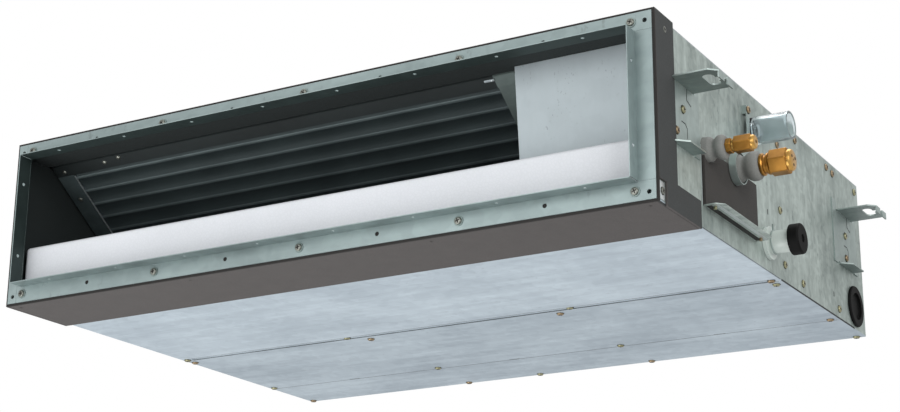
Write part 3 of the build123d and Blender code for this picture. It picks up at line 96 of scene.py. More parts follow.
class Pattern(Enum):
    """The surface patterns that a finish may carry."""

    SPANGLE = "spangle"
    ROLLED = "rolled"
    FOAM = "foam"
    BEADS = "beads"
    GRAIN = "grain"
    TURNED = "turned"
    FINS = "fins"
    NET = "net"


def linear(color: Color) -> tuple[float, ...]:
    """Turn a colour as seen on screen into Blender's linear values.

    Args:
        color: Red, green and blue from 0 to 1.

    Returns:
        The linear colour with full alpha.
    """
    parts = [c / 12.92 if c <= 0.04045 else ((c + 0.055) / 1.055) ** 2.4 for c in color]
    return (*parts, 1.0)


class NodeSheet:
    """Adds and links shader nodes in one node tree."""

    def __init__(self, tree: bpy.types.NodeTree) -> None:
        """Keep the tree that the nodes go into."""
        self.tree = tree

    def feed(self, node: bpy.types.Node, inputs: dict[str | int, object]) -> None:
        """Link or set a node's inputs.

        Args:
            node: The node.
            inputs: A socket or a plain value for each input, by its name or index.
        """
        for name, value in inputs.items():
            if isinstance(value, Socket):
                self.tree.links.new(value, node.inputs[name])
            else:
                node.inputs[name].default_value = value

    def add(
        self, kind: str, inputs: dict[str | int, object] | None = None, **settings: object
    ) -> bpy.types.Node:
        """Add a node.

        Args:
            kind: The node's type without its Shader prefix, such as "TexNoise".
            inputs: What feeds its inputs.
            **settings: Properties to set on it.

        Returns:
            The new node.
        """
        node = self.tree.nodes.new("ShaderNode" + kind)
        for name, value in settings.items():
            setattr(node, name, value)
        self.feed(node, inputs or {})
        return node

    def math(
        self, operation: str, first: object, second: object = 0.5, clamp: bool = False
    ) -> Socket:
        """Work out a number from two others.

        Args:
            operation: The Math node's operation.
            first: A socket or a number.
            second: A socket or a number.
            clamp: Whether the result is kept from 0 to 1.

        Returns:
            The result's socket.
        """
        return self.add("Math", {0: first, 1: second}, operation=operation,
                        use_clamp=clamp).outputs[0]

    def times(self, first: object, second: object, clamp: bool = False) -> Socket:
        """Multiply two sockets or numbers."""
        return self.math("MULTIPLY", first, second, clamp)

    def noise(self, place: Socket, scale: object, detail: float) -> Socket:
        """Add soft noise.

        Args:
            place: The coordinates' socket.
            scale: A socket or a number, in features per metre.
            detail: How many finer layers it has.

        Returns:
            The noise's value.
        """
        node = self.add("TexNoise", {"Vector": place, "Scale": scale, "Detail": detail})
        return node.outputs["Fac"]

    def blend(self, *parts: tuple[Socket, float]) -> Socket:
        """Add several values up.

        Args:
            *parts: The values' sockets, each with its weight.

        Returns:
            The sum's socket.
        """
        total = self.times(*parts[0])
        for value, weight in parts[1:]:
            total = self.math("ADD", total, self.times(value, weight))
        return total

    def mix(self, share: object, first: object, second: object) -> Socket:
        """Mix two colours.

        Args:
            share: The second colour's share, from 0 to 1.
            first: The first colour's socket or value.
            second: The second colour's socket or value.

        Returns:
            The mixed colour's socket.
        """
        return self.add("Mix", {0: share, 6: first, 7: second}, data_type="RGBA").outputs[2]


class GroupSheet(NodeSheet):
    """The inside of a shader group that several materials share."""

    def __init__(
        self, name: str, vectors: tuple[str, ...], numbers: tuple[str, ...],
        results: tuple[str, ...],
    ) -> None:
        """Make the group with its sockets.

        Args:
            name: The group's name.
            vectors: The names of its vector inputs.
            numbers: The names of its number inputs.
            results: The names of its outputs.
        """
        super().__init__(bpy.data.node_groups.new(name, "ShaderNodeTree"))
        for names, way, kind in ((vectors, "INPUT", "Vector"), (numbers, "INPUT", "Float"),
                                 (results, "OUTPUT", "Float")):
            for label in names:
                self.tree.interface.new_socket(
                    label, in_out=way, socket_type="NodeSocket" + kind
                )
        self.given = self.tree.nodes.new("NodeGroupInput").outputs
        self.result = self.tree.nodes.new("NodeGroupOutput")


class PatternSheet(GroupSheet):
    """The inside of a pattern's group: each pattern gives a tint, a roughness and a height."""

    def __init__(self, pattern: Pattern) -> None:
        """Build the group of one pattern.

        Args:
            pattern: Which pattern it is.
        """
        super().__init__("pattern_" + pattern.value, ("Vector", "Stretch"),
                         ("Scale", "Contrast"), ("Tint", "Roughness", "Height"))
        self.place = self.given["Vector"]
        self.scale = self.given["Scale"]
        self.drawn = self.add("VectorMath", {0: self.place, 1: self.given["Stretch"]},
                              operation="MULTIPLY").outputs[0]
        tint, rough, height = getattr(self, "_" + pattern.value)()
        spread = self.times(self.math("SUBTRACT", tint, 0.5), self.given["Contrast"])
        self.feed(self.result, {"Tint": self.math("ADD", spread, 0.5, True),
                                "Roughness": rough, "Height": height})

    def _along(self, axis: int) -> Socket:
        """The place along one axis."""
        return self.add("SeparateXYZ", {0: self.place}).outputs[axis]

    def _cells(self, scale: Socket) -> bpy.types.bpy_prop_collection:
        """Make crystals with bent borders, each with tones of its own.

        Args:
            scale: How many crystals there are in a metre.

        Returns:
            Three tones that change from crystal to crystal.
        """
        warp = self.add("TexNoise", {"Vector": self.place, "Scale": 40.0})
        bend = self.add("VectorMath", {0: warp.outputs["Color"], 1: (0.012, 0.012, 0.012),
                                       2: self.place}, operation="MULTIPLY_ADD")
        crystals = self.add(
            "TexVoronoi", {"Vector": bend.outputs[0], "Scale": scale, "Smoothness": 0.4},
            feature="SMOOTH_F1",
        )
        return self.add("SeparateColor", {0: crystals.outputs["Color"]}).outputs

    def _spangle(self) -> tuple[Socket, ...]:
        """Zinc crystals with cloudy patches over them.

        Returns:
            The tint, the roughness shift and the height.
        """
        tones = self._cells(self.scale)
        cloud = self.noise(self.place, 11.0, 5.0)
        speck = self.noise(self.place, self.times(self.scale, 2.3), 3.0)
        tint = self.blend((tones[0], 0.4), (cloud, 0.35), (speck, 0.25))
        height = self.blend((speck, 0.1), (self.noise(self.place, 6.0, 1.0), 1.0))
        return tint, self.times(tones[1], 0.16), height

    def _rolled(self) -> tuple[Socket, ...]:
        """Smooth rolled sheet: broad clouds, long streaks and the ghost of a spangle.

        Returns:
            The tint, the roughness shift and the height.
        """
        tones = self._cells(self.times(self.scale, 2.0))
        cloud = self.noise(self.place, 7.0, 4.0)
        streak = self.noise(self.drawn, self.scale, 4.0)
        fine = self.noise(self.drawn, self.times(self.scale, 6.0), 2.0)
        tint = self.blend((cloud, 0.44), (streak, 0.32), (fine, 0.16), (tones[0], 0.08))
        height = self.blend((fine, 0.12), (self.noise(self.place, 5.0, 1.0), 1.0))
        return tint, self.blend((streak, 0.12), (fine, 0.08)), height

    def _foam(self) -> tuple[Socket, ...]:
        """Small closed cells with uneven skin.

        Returns:
            The tint, the roughness shift and the height.
        """
        cells = self.add("TexVoronoi", {"Vector": self.place, "Scale": self.scale})
        skin = self.noise(self.place, 60.0, 6.0)
        tint = self.blend((cells.outputs["Distance"], 0.6), (skin, 0.5))
        return tint, self.times(skin, 0.08), self.math("ADD", cells.outputs["Distance"], skin)

    def _beads(self) -> tuple[Socket, ...]:
        """Fused beads with faint lines where they meet.

        Returns:
            The tint, the roughness shift and the height.
        """
        beads = self.add("TexVoronoi", {"Vector": self.place, "Scale": self.scale},
                         feature="DISTANCE_TO_EDGE")
        line = self.times(beads.outputs["Distance"], 6.0, True)
        soft = self.noise(self.place, 9.0, 2.0)
        return self.blend((line, 0.3), (soft, 0.7)), self.times(soft, 0.1), line

    def _grain(self) -> tuple[Socket, ...]:
        """The fine grain of moulded plastic and rubber.

        Returns:
            The tint, the roughness shift and the height.
        """
        fine = self.noise(self.place, self.scale, 4.0)
        broad = self.noise(self.place, 25.0, 3.0)
        return self.blend((fine, 0.4), (broad, 0.6)), self.times(broad, 0.12), fine

    def _turned(self) -> tuple[Socket, ...]:
        """Fine rings along X, as a lathe leaves them, with a little tarnish.

        Returns:
            The tint, the roughness shift and the height.
        """
        rings = self.math("SINE", self.times(self._along(0), self.scale))
        rings = self.math("ADD", self.times(rings, 0.5), 0.5)
        tarnish = self.noise(self.place, 90.0, 5.0)
        return self.blend((rings, 0.15), (tarnish, 0.85)), self.times(tarnish, 0.2), rings

    def _fins(self) -> tuple[Socket, ...]:
        """A stack of thin fins side by side along X, a few of them bent.

        Returns:
            The tint, the roughness shift and the height.
        """
        drift = self.times(self.noise(self.place, 30.0, 3.0), 0.004)
        place = self.times(self.math("ADD", self._along(0), drift), self.scale)
        edge = self.times(self.math("PINGPONG", place, 0.5), 2.0)
        patch = self.noise(self.drawn, 18.0, 4.0)
        return self.blend((edge, 0.45), (patch, 0.55)), self.times(patch, 0.2), edge

    def _net(self) -> tuple[Socket, ...]:
        """A fine woven net of threads along X and Z.

        Returns:
            The tint, the roughness shift and the height.
        """
        threads = [self.math("PINGPONG", self.times(self._along(axis), self.scale), 0.5)
                   for axis in (0, 2)]
        weave = self.times(self.math("MAXIMUM", *threads), 2.0)
        dust = self.noise(self.place, 30.0, 4.0)
        return self.blend((weave, 0.6), (dust, 0.4)), self.times(dust, 0.15), weave


@cache
def pattern_group(pattern: Pattern) -> bpy.types.NodeTree:
    """Give a pattern's shared group.

    Args:
        pattern: Which pattern is wanted.

    Returns:
        The group's node tree.
    """
    return PatternSheet(pattern).tree


@cache
def scuff_group() -> bpy.types.NodeTree:
    """Give the shared group that scatters small scuffs in a few patches.

    Returns:
        The group's node tree.
    """
    sheet = GroupSheet("scuffs", ("Vector",), ("Scale", "Amount"), ("Mask",))
    place, scale = sheet.given["Vector"], sheet.given["Scale"]
    marks = sheet.math("SUBTRACT", sheet.noise(place, scale, 3.0), 0.62)
    areas = sheet.math("SUBTRACT", sheet.noise(place, sheet.times(scale, 0.09), 2.0), 0.5)
    mask = sheet.times(sheet.times(marks, 12.0, True), sheet.times(areas, 9.0, True))
    sheet.feed(sheet.result, {"Mask": sheet.times(mask, sheet.given["Amount"])})
    return sheet.tree


@dataclass(frozen=True)
class Finish:
    """One material: two tones of its colour, its gloss, and the pattern between the tones."""

    name: str
    light: Color
    dark: Color
    roughness: float
    metallic: float
    pattern: Pattern
    scale: float
    contrast: float = 1.0
    bump: float = 0.1
    bump_depth: float = 0.0005
    coat: float = 0.0
    specular: float = 0.5
    stretch: Point = (1.0, 1.0, 1.0)
    scuffs: float = 0.0
    scuff_tone: Color = (0.35, 0.36, 0.36)
    scuff_scale: float = 160.0
    scuff_stretch: Point = (1.0, 1.0, 0.55)
    transmission: float = 0.0
    clear_ior: float = 1.35

    def toned(self, name: str, light: Color, dark: Color, **changes: object) -> "Finish":
        """Make a finish like this one in other tones.

        Args:
            name: The new finish's name.
            light: Its light tone.
            dark: Its dark tone.
            **changes: Other fields that differ.

        Returns:
            The new finish.
        """
        return replace(self, name=name, light=light, dark=dark, **changes)

    def material(self) -> bpy.types.Material:
        """Build the material on first use.

        Returns:
            The material, shared by every piece with this finish.
        """
        made = bpy.data.materials.get("look_" + self.name)
        if made:
            return made
        made = bpy.data.materials.new("look_" + self.name)
        made.use_nodes = True
        sheet = NodeSheet(made.node_tree)
        shader = made.node_tree.nodes["Principled BSDF"]
        place = sheet.add("TexCoord").outputs["Object"]
        group = sheet.add(
            "Group", {"Vector": place, "Stretch": self.stretch, "Scale": self.scale,
                      "Contrast": self.contrast}, node_tree=pattern_group(self.pattern),
        )
        color = sheet.mix(group.outputs["Tint"], linear(self.dark), linear(self.light))
        if self.scuffs:
            color = self._scuffed(sheet, place, color)
        rough = sheet.math("ADD", group.outputs["Roughness"], self.roughness)
        sheet.feed(shader, {"Base Color": color, "Roughness": rough, "Metallic": self.metallic,
                            "Coat Weight": self.coat, "Specular IOR Level": self.specular})
        if self.transmission:
            sheet.feed(shader, {"Transmission Weight": self.transmission,
                                "IOR": self.clear_ior})
        if self.bump:
            relief = sheet.add("Bump", {"Height": group.outputs["Height"],
                                        "Strength": self.bump, "Distance": self.bump_depth})
            sheet.feed(shader, {"Normal": relief.outputs["Normal"]})
        return made

    def _scuffed(self, sheet: NodeSheet, place: Socket, color: Socket) -> Socket:
        """Lay small scuffs over a colour.

        Args:
            sheet: The material's nodes.
            place: The coordinates' socket.
            color: The colour's socket.

        Returns:
            The scuffed colour's socket.
        """
        drawn = sheet.add("Mapping", {"Vector": place, "Scale": self.scuff_stretch})
        marks = sheet.add(
            "Group", {"Vector": drawn.outputs["Vector"], "Scale": self.scuff_scale,
                      "Amount": self.scuffs}, node_tree=scuff_group(),
        )
        return sheet.mix(marks.outputs["Mask"], color, linear(self.scuff_tone))


# Bright zinc for small trim, also a painted highlight on broken edges and thin edge strips
BRIGHT_ZINC_AND_HIGHLIGHT = Finish("bright_zinc_and_highlight", (0.86, 0.885, 0.89), (0.74, 0.765, 0.77), 0.3, 0.8,
                  Pattern.GRAIN, 300.0, 1.5)
BOTTOM_ZINC = Finish("bottom_zinc", (0.80, 0.85, 0.885), (0.68, 0.73, 0.77), 0.42, 0.55,
                     Pattern.ROLLED, 50.0, 3.8, 0.12, 0.0006, stretch=(0.08, 1.0, 1.0),
                     scuffs=0.3, scuff_tone=(0.55, 0.59, 0.62))
# Darker copy for the middle and rear bottom panels: painted shade, darker towards the rear.
REAR_BOTTOM_PAINTED_SHADE = BOTTOM_ZINC.toned(
    "rear_bottom_painted_shade", (0.755, 0.805, 0.84), (0.635, 0.685, 0.725), contrast=4.2,
    scuff_tone=(0.52, 0.56, 0.59),
)
SIDE_ZINC = Finish("side_zinc", (0.76, 0.805, 0.785), (0.47, 0.515, 0.50), 0.40, 0.6,
                   Pattern.ROLLED, 70.0, 3.0, 0.12, 0.0006, stretch=(1.0, 1.0, 0.2),
                   scuffs=0.5, scuff_tone=(0.36, 0.40, 0.39))
TOP_ZINC = Finish("top_zinc", (0.76, 0.79, 0.80), (0.60, 0.63, 0.645), 0.40, 0.6,
                  Pattern.SPANGLE, 80.0, 1.0, 0.15, 0.0006)
BRACKET_ZINC = Finish("bracket_zinc", (0.71, 0.76, 0.745), (0.50, 0.55, 0.54), 0.34, 0.65,
                      Pattern.ROLLED, 60.0, 2.2, stretch=(1.0, 1.0, 0.2), scuffs=0.5,
                      scuff_tone=(0.40, 0.43, 0.43))
# Darker bracket zinc: painted shade on the brackets' downward faces; also the washers' tone.
BRACKET_PAINTED_SHADE_AND_WASHER = BRACKET_ZINC.toned("bracket_painted_shade_and_washer", (0.60, 0.655, 0.645), (0.38, 0.43, 0.42),
                                   stretch=(0.3, 1.0, 1.0), scuffs=0.0)
# Darker flange zinc: painted shade under the flange's lower lip.
FLANGE_LIP_PAINTED_SHADE = Finish("flange_lip_painted_shade", (0.54, 0.60, 0.60), (0.34, 0.385, 0.385), 0.4, 0.55,
                    Pattern.ROLLED, 40.0, 2.6, stretch=(0.6, 1.0, 1.0))
FLANGE_ZINC = Finish("flange_zinc", (0.64, 0.70, 0.70), (0.45, 0.50, 0.50), 0.38, 0.6,
                     Pattern.ROLLED, 40.0, 2.0, stretch=(0.1, 1.0, 0.4), scuffs=0.3)
# Darkest flange zinc: painted shade under the upper lip and on the left lip's inward face.
FLANGE_PAINTED_SHADE = Finish("flange_painted_shade", (0.22, 0.275, 0.27), (0.14, 0.18, 0.175), 0.5, 0.4,
                      Pattern.ROLLED, 40.0, 2.0)
COVER_ZINC = Finish("cover_zinc", (0.69, 0.73, 0.745), (0.59, 0.625, 0.64), 0.45, 0.45,
                    Pattern.ROLLED, 30.0, 1.8, stretch=(1.0, 1.0, 0.3),
                    scuffs=0.6, scuff_tone=(0.46, 0.48, 0.50), scuff_scale=380.0)
INNER_ZINC = Finish("inner_zinc", (0.55, 0.58, 0.58), (0.36, 0.385, 0.385), 0.42, 0.6,
                    Pattern.SPANGLE, 90.0)
COIL_DARK = Finish("coil_plate_dark", (0.35, 0.40, 0.405), (0.23, 0.27, 0.275), 0.45, 0.5,
                   Pattern.ROLLED, 60.0, 2.0, stretch=(0.3, 1.0, 1.0))
COIL_SHADE = COIL_DARK.toned("coil_plate_shade", (0.15, 0.18, 0.182), (0.09, 0.11, 0.112),
                             roughness=0.5, metallic=0.4)
COIL_PALE = COIL_DARK.toned("coil_plate_pale", (0.45, 0.50, 0.49), (0.32, 0.36, 0.35),
                            roughness=0.42, metallic=0.55)
BAND_FOAM = Finish("band_foam", (0.34, 0.325, 0.32), (0.24, 0.23, 0.228), 0.78, 0.0,
                   Pattern.FOAM, 900.0, 1.0, 0.4, 0.0004)
# Darker band foam for the band's sideways faces: painted shade.
BAND_FOAM_PAINTED_SIDE_SHADE = BAND_FOAM.toned("band_foam_painted_side_shade", (0.24, 0.25, 0.25), (0.165, 0.175, 0.175),
                                 roughness=0.8)
DARK_FOAM = Finish("dark_foam", (0.12, 0.15, 0.15), (0.075, 0.10, 0.10), 0.85, 0.0,
                   Pattern.FOAM, 700.0, 1.0, 0.5)
COVER_FOAM = Finish("cover_foam", (0.25, 0.24, 0.23), (0.17, 0.165, 0.16), 0.8, 0.0,
                    Pattern.FOAM, 650.0, 1.1, 0.5)
SLEEVE_FOAM = Finish("sleeve_foam", (0.53, 0.535, 0.52), (0.43, 0.435, 0.425), 0.62, 0.0,
                     Pattern.FOAM, 600.0, 0.7, 0.15, 0.0003)
PAN_FOAM = Finish("pan_foam", (0.83, 0.84, 0.86), (0.75, 0.765, 0.78), 0.62, 0.0,
                  Pattern.BEADS, 260.0, 0.7, 0.15, 0.0002)
FIN_METAL = Finish("fin_metal", (0.23, 0.275, 0.28), (0.13, 0.16, 0.165), 0.42, 0.5,
                   Pattern.FINS, 625.0, 1.2, 0.5, 0.0006)
# Lighter fin metal for the ridges' front faces: a painted highlight.
FIN_CREST_HIGHLIGHT = FIN_METAL.toned("fin_crest_highlight", (0.44, 0.49, 0.495), (0.28, 0.32, 0.325),
                            roughness=0.38, metallic=0.6, contrast=1.4)
COPPER = Finish("copper", (0.80, 0.50, 0.34), (0.55, 0.31, 0.19), 0.28, 0.95,
                Pattern.TURNED, 4000.0, 0.9, 0.05)
BRASS = Finish("brass", (0.77, 0.57, 0.28), (0.50, 0.33, 0.13), 0.24, 0.95,
               Pattern.TURNED, 5200.0, 1.2, 0.08, 0.0002)
BRIGHT_BRASS = BRASS.toned("bright_brass", (0.88, 0.71, 0.41), (0.66, 0.48, 0.22),
                           roughness=0.18)
WHITE_PLASTIC = Finish("white_plastic", (0.88, 0.88, 0.85), (0.78, 0.78, 0.75), 0.38, 0.0,
                       Pattern.GRAIN, 900.0, 0.8, 0.1, 0.0002)
GREY_PLASTIC = WHITE_PLASTIC.toned("grey_plastic", (0.50, 0.52, 0.53), (0.40, 0.42, 0.43),
                                   roughness=0.48, bump=0.15)
PORT_PLASTIC = Finish("port_plastic", (0.82, 0.86, 0.84), (0.70, 0.74, 0.72), 0.3, 0.0,
                      Pattern.GRAIN, 700.0, 1.0, 0.1, 0.0002, coat=0.3)
SOCKET_PLASTIC = Finish("socket_plastic", (0.91, 0.945, 0.955), (0.82, 0.865, 0.875), 0.08,
                        0.0, Pattern.GRAIN, 500.0, 2.0, 0.0, transmission=0.9)
FILTER_NET = Finish("filter_net", (0.16, 0.16, 0.165), (0.06, 0.06, 0.065), 0.5, 0.0,
                    Pattern.NET, 550.0, 1.2, 0.4, 0.0003)
BLACK_RUBBER = Finish("black_rubber", (0.05, 0.053, 0.053), (0.015, 0.017, 0.017), 0.6, 0.0,
                      Pattern.GRAIN, 1400.0, 1.0, 0.3, 0.0002, specular=0.15)
MOTOR_PAINT = Finish("motor_paint", (0.30, 0.31, 0.325), (0.22, 0.23, 0.245), 0.4, 0.2,
                     Pattern.GRAIN, 700.0, 0.8, 0.15)
STEEL = Finish("bright_steel", (0.72, 0.72, 0.72), (0.55, 0.55, 0.56), 0.3, 0.95,
               Pattern.TURNED, 6000.0, 0.8, 0.05)
BOARD_GREEN = Finish("board_green", (0.12, 0.38, 0.22), (0.07, 0.26, 0.15), 0.35, 0.0,
                     Pattern.GRAIN, 500.0)
SCREW_ZINC = Finish("screw_zinc", (0.74, 0.73, 0.60), (0.46, 0.45, 0.33), 0.3, 0.9,
                    Pattern.GRAIN, 1600.0, 1.2)
SCREW_COPPER = SCREW_ZINC.toned("screw_copper", (0.72, 0.64, 0.52), (0.46, 0.39, 0.30))
FLANGE_SCREW_STEEL = SCREW_ZINC.toned("flange_screw_steel", (0.60, 0.61, 0.58),
                                      (0.33, 0.34, 0.32))
# Near-black for the coil's clips, and painted shade in recesses, holes, gaps and under heads
DARK_CLIP_AND_PAINTED_SHADE = SCREW_ZINC.toned("dark_clip_and_painted_shade", (0.13, 0.12, 0.11), (0.07, 0.065, 0.06),
                               roughness=0.55, metallic=0.3)
# Painted shade in slits, slots, edges and at the side plates' feet.
LINE_PAINTED_SHADE = Finish("line_painted_shade", (0.19, 0.21, 0.21), (0.10, 0.115, 0.115), 0.6, 0.2,
                       Pattern.GRAIN, 400.0, 1.5)
# Painted shade in the bottom seams.
SEAM_PAINTED_SHADE = Finish("seam_painted_shade", (0.52, 0.55, 0.57), (0.27, 0.29, 0.30), 0.6, 0.2,
                   Pattern.ROLLED, 60.0, 3.0, stretch=(0.1, 1.0, 1.0))


class Shape:
    """Small mesh builders that the sub-assemblies share. Each adds to the mesh that it gets."""

    @staticmethod
    def paint(verts: Verts, index: int) -> None:
        """Give the faces on some vertices a material index."""
        for face in {f for v in verts for f in v.link_faces}:
            face.material_index = index

    @staticmethod
    def edges_of(verts: Verts) -> Edges:
        """List the edges on some vertices."""
        return list({e for v in verts for e in v.link_edges})

    @staticmethod
    def break_edges(bm: Mesh, edges: Edges, width: float, segments: int = 2) -> None:
        """Round some edges off.

        Args:
            bm: The mesh.
            edges: The edges.
            width: How far back the rounding starts.
            segments: How many steps it has.
        """
        bmesh.ops.bevel(bm, geom=edges, offset=width, segments=segments, profile=0.5,
                        affect="EDGES", material=-1)

    @staticmethod
    def cut(bm: Mesh, x: float, clear: bool = False) -> Edges:
        """Cut a mesh across X.

        Args:
            bm: The mesh.
            x: Where it is cut.
            clear: Whether the part beyond the cut is taken away.

        Returns:
            The edges along the cut.
        """
        made = bmesh.ops.bisect_plane(
            bm, geom=bm.verts[:] + bm.edges[:] + bm.faces[:], dist=CUT_DISTANCE,
            plane_co=(x, 0.0, 0.0), plane_no=(1.0, 0.0, 0.0), clear_outer=clear,
        )
        return [g for g in made["geom_cut"] if isinstance(g, bmesh.types.BMEdge)]

    @staticmethod
    def box(
        bm: Mesh, low: Point, high: Point, index: int = 0, pose: Matrix | None = None
    ) -> Verts:
        """Add a block between two corners.

        Args:
            bm: The mesh.
            low: Its lower corner.
            high: Its upper corner.
            index: Its material index.
            pose: Where its own frame lies in the row's frame.

        Returns:
            Its vertices.
        """
        size = Vector(high) - Vector(low)
        place = Matrix.Translation((Vector(high) + Vector(low)) / 2)
        made = bmesh.ops.create_cube(
            bm, size=1.0, matrix=(pose or Matrix()) @ place @ Matrix.Diagonal((*size, 1.0))
        )
        Shape.paint(made["verts"], index)
        return made["verts"]

    @staticmethod
    def strip(bm: Mesh, start: Point, end: Point, facing: Point, width: float) -> None:
        """Add a thin flat line between two points of a face.

        Args:
            bm: The mesh.
            start: Where it begins.
            end: Where it ends.
            facing: The face's outward direction.
            width: Its width.
        """
        first, last = Vector(start), Vector(end)
        along = (last - first).normalized()
        out = Vector(facing).normalized()
        turn = Matrix((along, out.cross(along), out)).transposed().to_4x4()
        half = ((last - first).length / 2, width / 2, MARK_DEPTH / 2)
        pose = Matrix.Translation((first + last) / 2) @ turn
        Shape.box(bm, tuple(-h for h in half), half, 0, pose)

    @staticmethod
    def disc(
        bm: Mesh, pose: Matrix, radius: float, depth: float, index: int = 0, sides: int = 24,
        taper: float = 1.0,
    ) -> Verts:
        """Add a disc, or a prism with few sides.

        Args:
            bm: The mesh.
            pose: The place of its middle, with Z along its axis.
            radius: The radius of its lower face.
            depth: Its size along its axis.
            index: Its material index.
            sides: How many sides it has.
            taper: The upper radius as a share of the lower one.

        Returns:
            Its vertices.
        """
        made = bmesh.ops.create_cone(
            bm, cap_ends=True, segments=sides, radius1=radius, radius2=radius * taper,
            depth=depth, matrix=pose,
        )
        Shape.paint(made["verts"], index)
        return made["verts"]

    @staticmethod
    def hexagon(
        bm: Mesh, reach: Pair, flats: float, axis: Pair, index: int = 0, corner: float = 0.0007
    ) -> None:
        """Add a hexagonal prism along X with broken edges.

        Args:
            bm: The mesh.
            reach: Where it begins and ends along X.
            flats: Its width across flats.
            axis: The Y and Z of its middle line.
            index: Its material index.
            corner: The width of its broken edges.
        """
        pose = Matrix.Translation((sum(reach) / 2, *axis)) @ ALONG_X
        verts = Shape.disc(bm, pose, flats / math.sqrt(3), reach[1] - reach[0], index, 6)
        Shape.break_edges(bm, Shape.edges_of(verts), corner, 1)

    @staticmethod
    def dome(bm: Mesh, pose: Matrix, radius: float, height: float, index: int = 0) -> None:
        """Add a low round head, such as a rivet's.

        Args:
            bm: The mesh.
            pose: Its place, with Z outwards.
            radius: Its radius.
            height: How far it stands out.
            index: Its material index.
        """
        made = bmesh.ops.create_uvsphere(
            bm, u_segments=20, v_segments=10, radius=1.0,
            matrix=pose @ Matrix.Diagonal((radius, radius, height, 1.0)),
        )
        Shape.paint(made["verts"], index)

    @staticmethod
    def lathe(bm: Mesh, outline: Pairs, axis: Pair, index: int = 0) -> None:
        """Turn a closed outline round an axis along X.

        Args:
            bm: The mesh.
            outline: Points of the section as distance along X and radius.
            axis: The axis' Y and Z.
            index: Its material index.
        """
        known = set(bm.verts)
        verts = [bm.verts.new((x, axis[0], axis[1] + r)) for x, r in outline]
        ring = verts + [bm.edges.new(pair) for pair in zip(verts, verts[1:] + verts[:1])]
        bmesh.ops.spin(
            bm, geom=ring, cent=(0.0, *axis), axis=(1.0, 0.0, 0.0), angle=math.tau,
            steps=LATHE_SIDES, use_merge=True,
        )
        new = [v for v in bm.verts if v not in known]
        bmesh.ops.remove_doubles(bm, verts=new, dist=2 * CUT_DISTANCE)
        Shape.paint([v for v in bm.verts if v not in known], index)

    @staticmethod
    def prism(bm: Mesh, outline: list[Point], reach: Point) -> None:
        """Extrude a flat outline.

        Args:
            bm: The mesh.
            outline: The corners of the outline.
            reach: How far and which way it is drawn out.
        """
        face = bm.faces.new([bm.verts.new(point) for point in outline])
        made = bmesh.ops.extrude_face_region(bm, geom=[face])
        moved = [g for g in made["geom"] if isinstance(g, bmesh.types.BMVert)]
        bmesh.ops.translate(bm, verts=moved, vec=reach)


class Piece:
    """Helpers that turn a mesh into a finished piece of the scene."""

    @staticmethod
    def place(bm: Mesh, name: str) -> bpy.types.Object:
        """Put a mesh into the scene.

        Args:
            bm: The mesh, which is freed.
            name: The object's name.

        Returns:
            The new object.
        """
        mesh = bpy.data.meshes.new(name)
        bm.to_mesh(mesh)
        bm.free()
        made = bpy.data.objects.new(name, mesh)
        bpy.context.scene.collection.objects.link(made)
        return made

    @staticmethod
    def finish(
        bm: Mesh, name: str, finishes: list[Finish], replaced: tuple[str, ...] = (),
        smooth_angle: float = 32.0, body: str = "casing",
    ) -> bpy.types.Object:
        """Make a piece of a mesh, dress it and let it ride.

        Args:
            bm: The mesh, in place in the row's frame. It is freed.
            name: The piece's name.
            finishes: Its finishes, in the order of its material indices.
            replaced: CAD nodes that it stands for.
            smooth_angle: Edges below this angle shade smooth, in degrees.
            body: The CAD body that it moves with.

        Returns:
            The new object.
        """
        bmesh.ops.recalc_face_normals(bm, faces=bm.faces)
        limit = math.radians(smooth_angle)
        for face in bm.faces:
            face.smooth = True
        for edge in bm.edges:
            edge.smooth = edge.is_manifold and edge.calc_face_angle(0.0) < limit
        piece = Piece.place(bm, name)
        for finish in finishes:
            piece.data.materials.append(finish.material())
        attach(piece, body)
        if replaced:
            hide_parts(*replaced)
        log.info("piece %s: %d faces", name, len(piece.data.polygons))
        return piece

    @staticmethod
    def copy(node: str) -> Mesh:
        """Copy a CAD node's mesh with its loose triangles joined.

        Args:
            node: The CAD node.

        Returns:
            The copy, with every face on the first material.
        """
        bm = bmesh.new()
        bm.from_mesh(frame["nodes"][node].data)
        bmesh.ops.remove_doubles(bm, verts=bm.verts, dist=JOIN_DISTANCE)
        bmesh.ops.dissolve_limit(bm, angle_limit=math.radians(1.0), verts=bm.verts,
                                 edges=bm.edges, delimit={"NORMAL"})
        for face in bm.faces:
            face.material_index = 0
        return bm

    @staticmethod
    def softened(
        node: str, finishes: list[Finish], width: float, segments: int = 2,
        chooser: Callable[[Vector, Vector], int] | None = None, edge_index: int = -1,
        split: float | None = None,
    ) -> None:
        """Stand a copy of a CAD node in for it, with its edges broken.

        Args:
            node: The CAD node.
            finishes: The copy's finishes.
            width: The width of the broken edge.
            segments: How many steps round it off.
            chooser: Gives a face's material index from its middle and its normal.
            edge_index: The material index of the broken edges, or -1 for their neighbours'.
            split: An X at which faces are cut in two, so that both sides may differ.
        """
        bm = Piece.copy(node)
        if split is not None:
            Shape.cut(bm, split)
        if chooser:
            bmesh.ops.recalc_face_normals(bm, faces=bm.faces)
            for face in bm.faces:
                face.material_index = chooser(face.calc_center_median(), face.normal)
        piece = Piece.finish(bm, node + "_finished", finishes, (node,),
                             body=frame["nodes"][node]["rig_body"])
        bevel = piece.modifiers.new("broken_edges", "BEVEL")
        bevel.width = width
        bevel.segments = segments
        bevel.limit_method = "ANGLE"
        bevel.angle_limit = math.radians(35.0)
        bevel.harden_normals = True
        bevel.material = edge_index


def dress(finish: Finish, *nodes: str) -> None:
    """Give CAD nodes' own objects a finish.

    Args:
        finish: The finish.
        *nodes: The CAD nodes.
    """
    for node in nodes:
        mesh = frame["nodes"][node].data
        mesh.materials.clear()
        mesh.materials.append(finish.material())
        for polygon in mesh.polygons:
            polygon.material_index = 0
        log.info("piece %s: %s", node, finish.name)


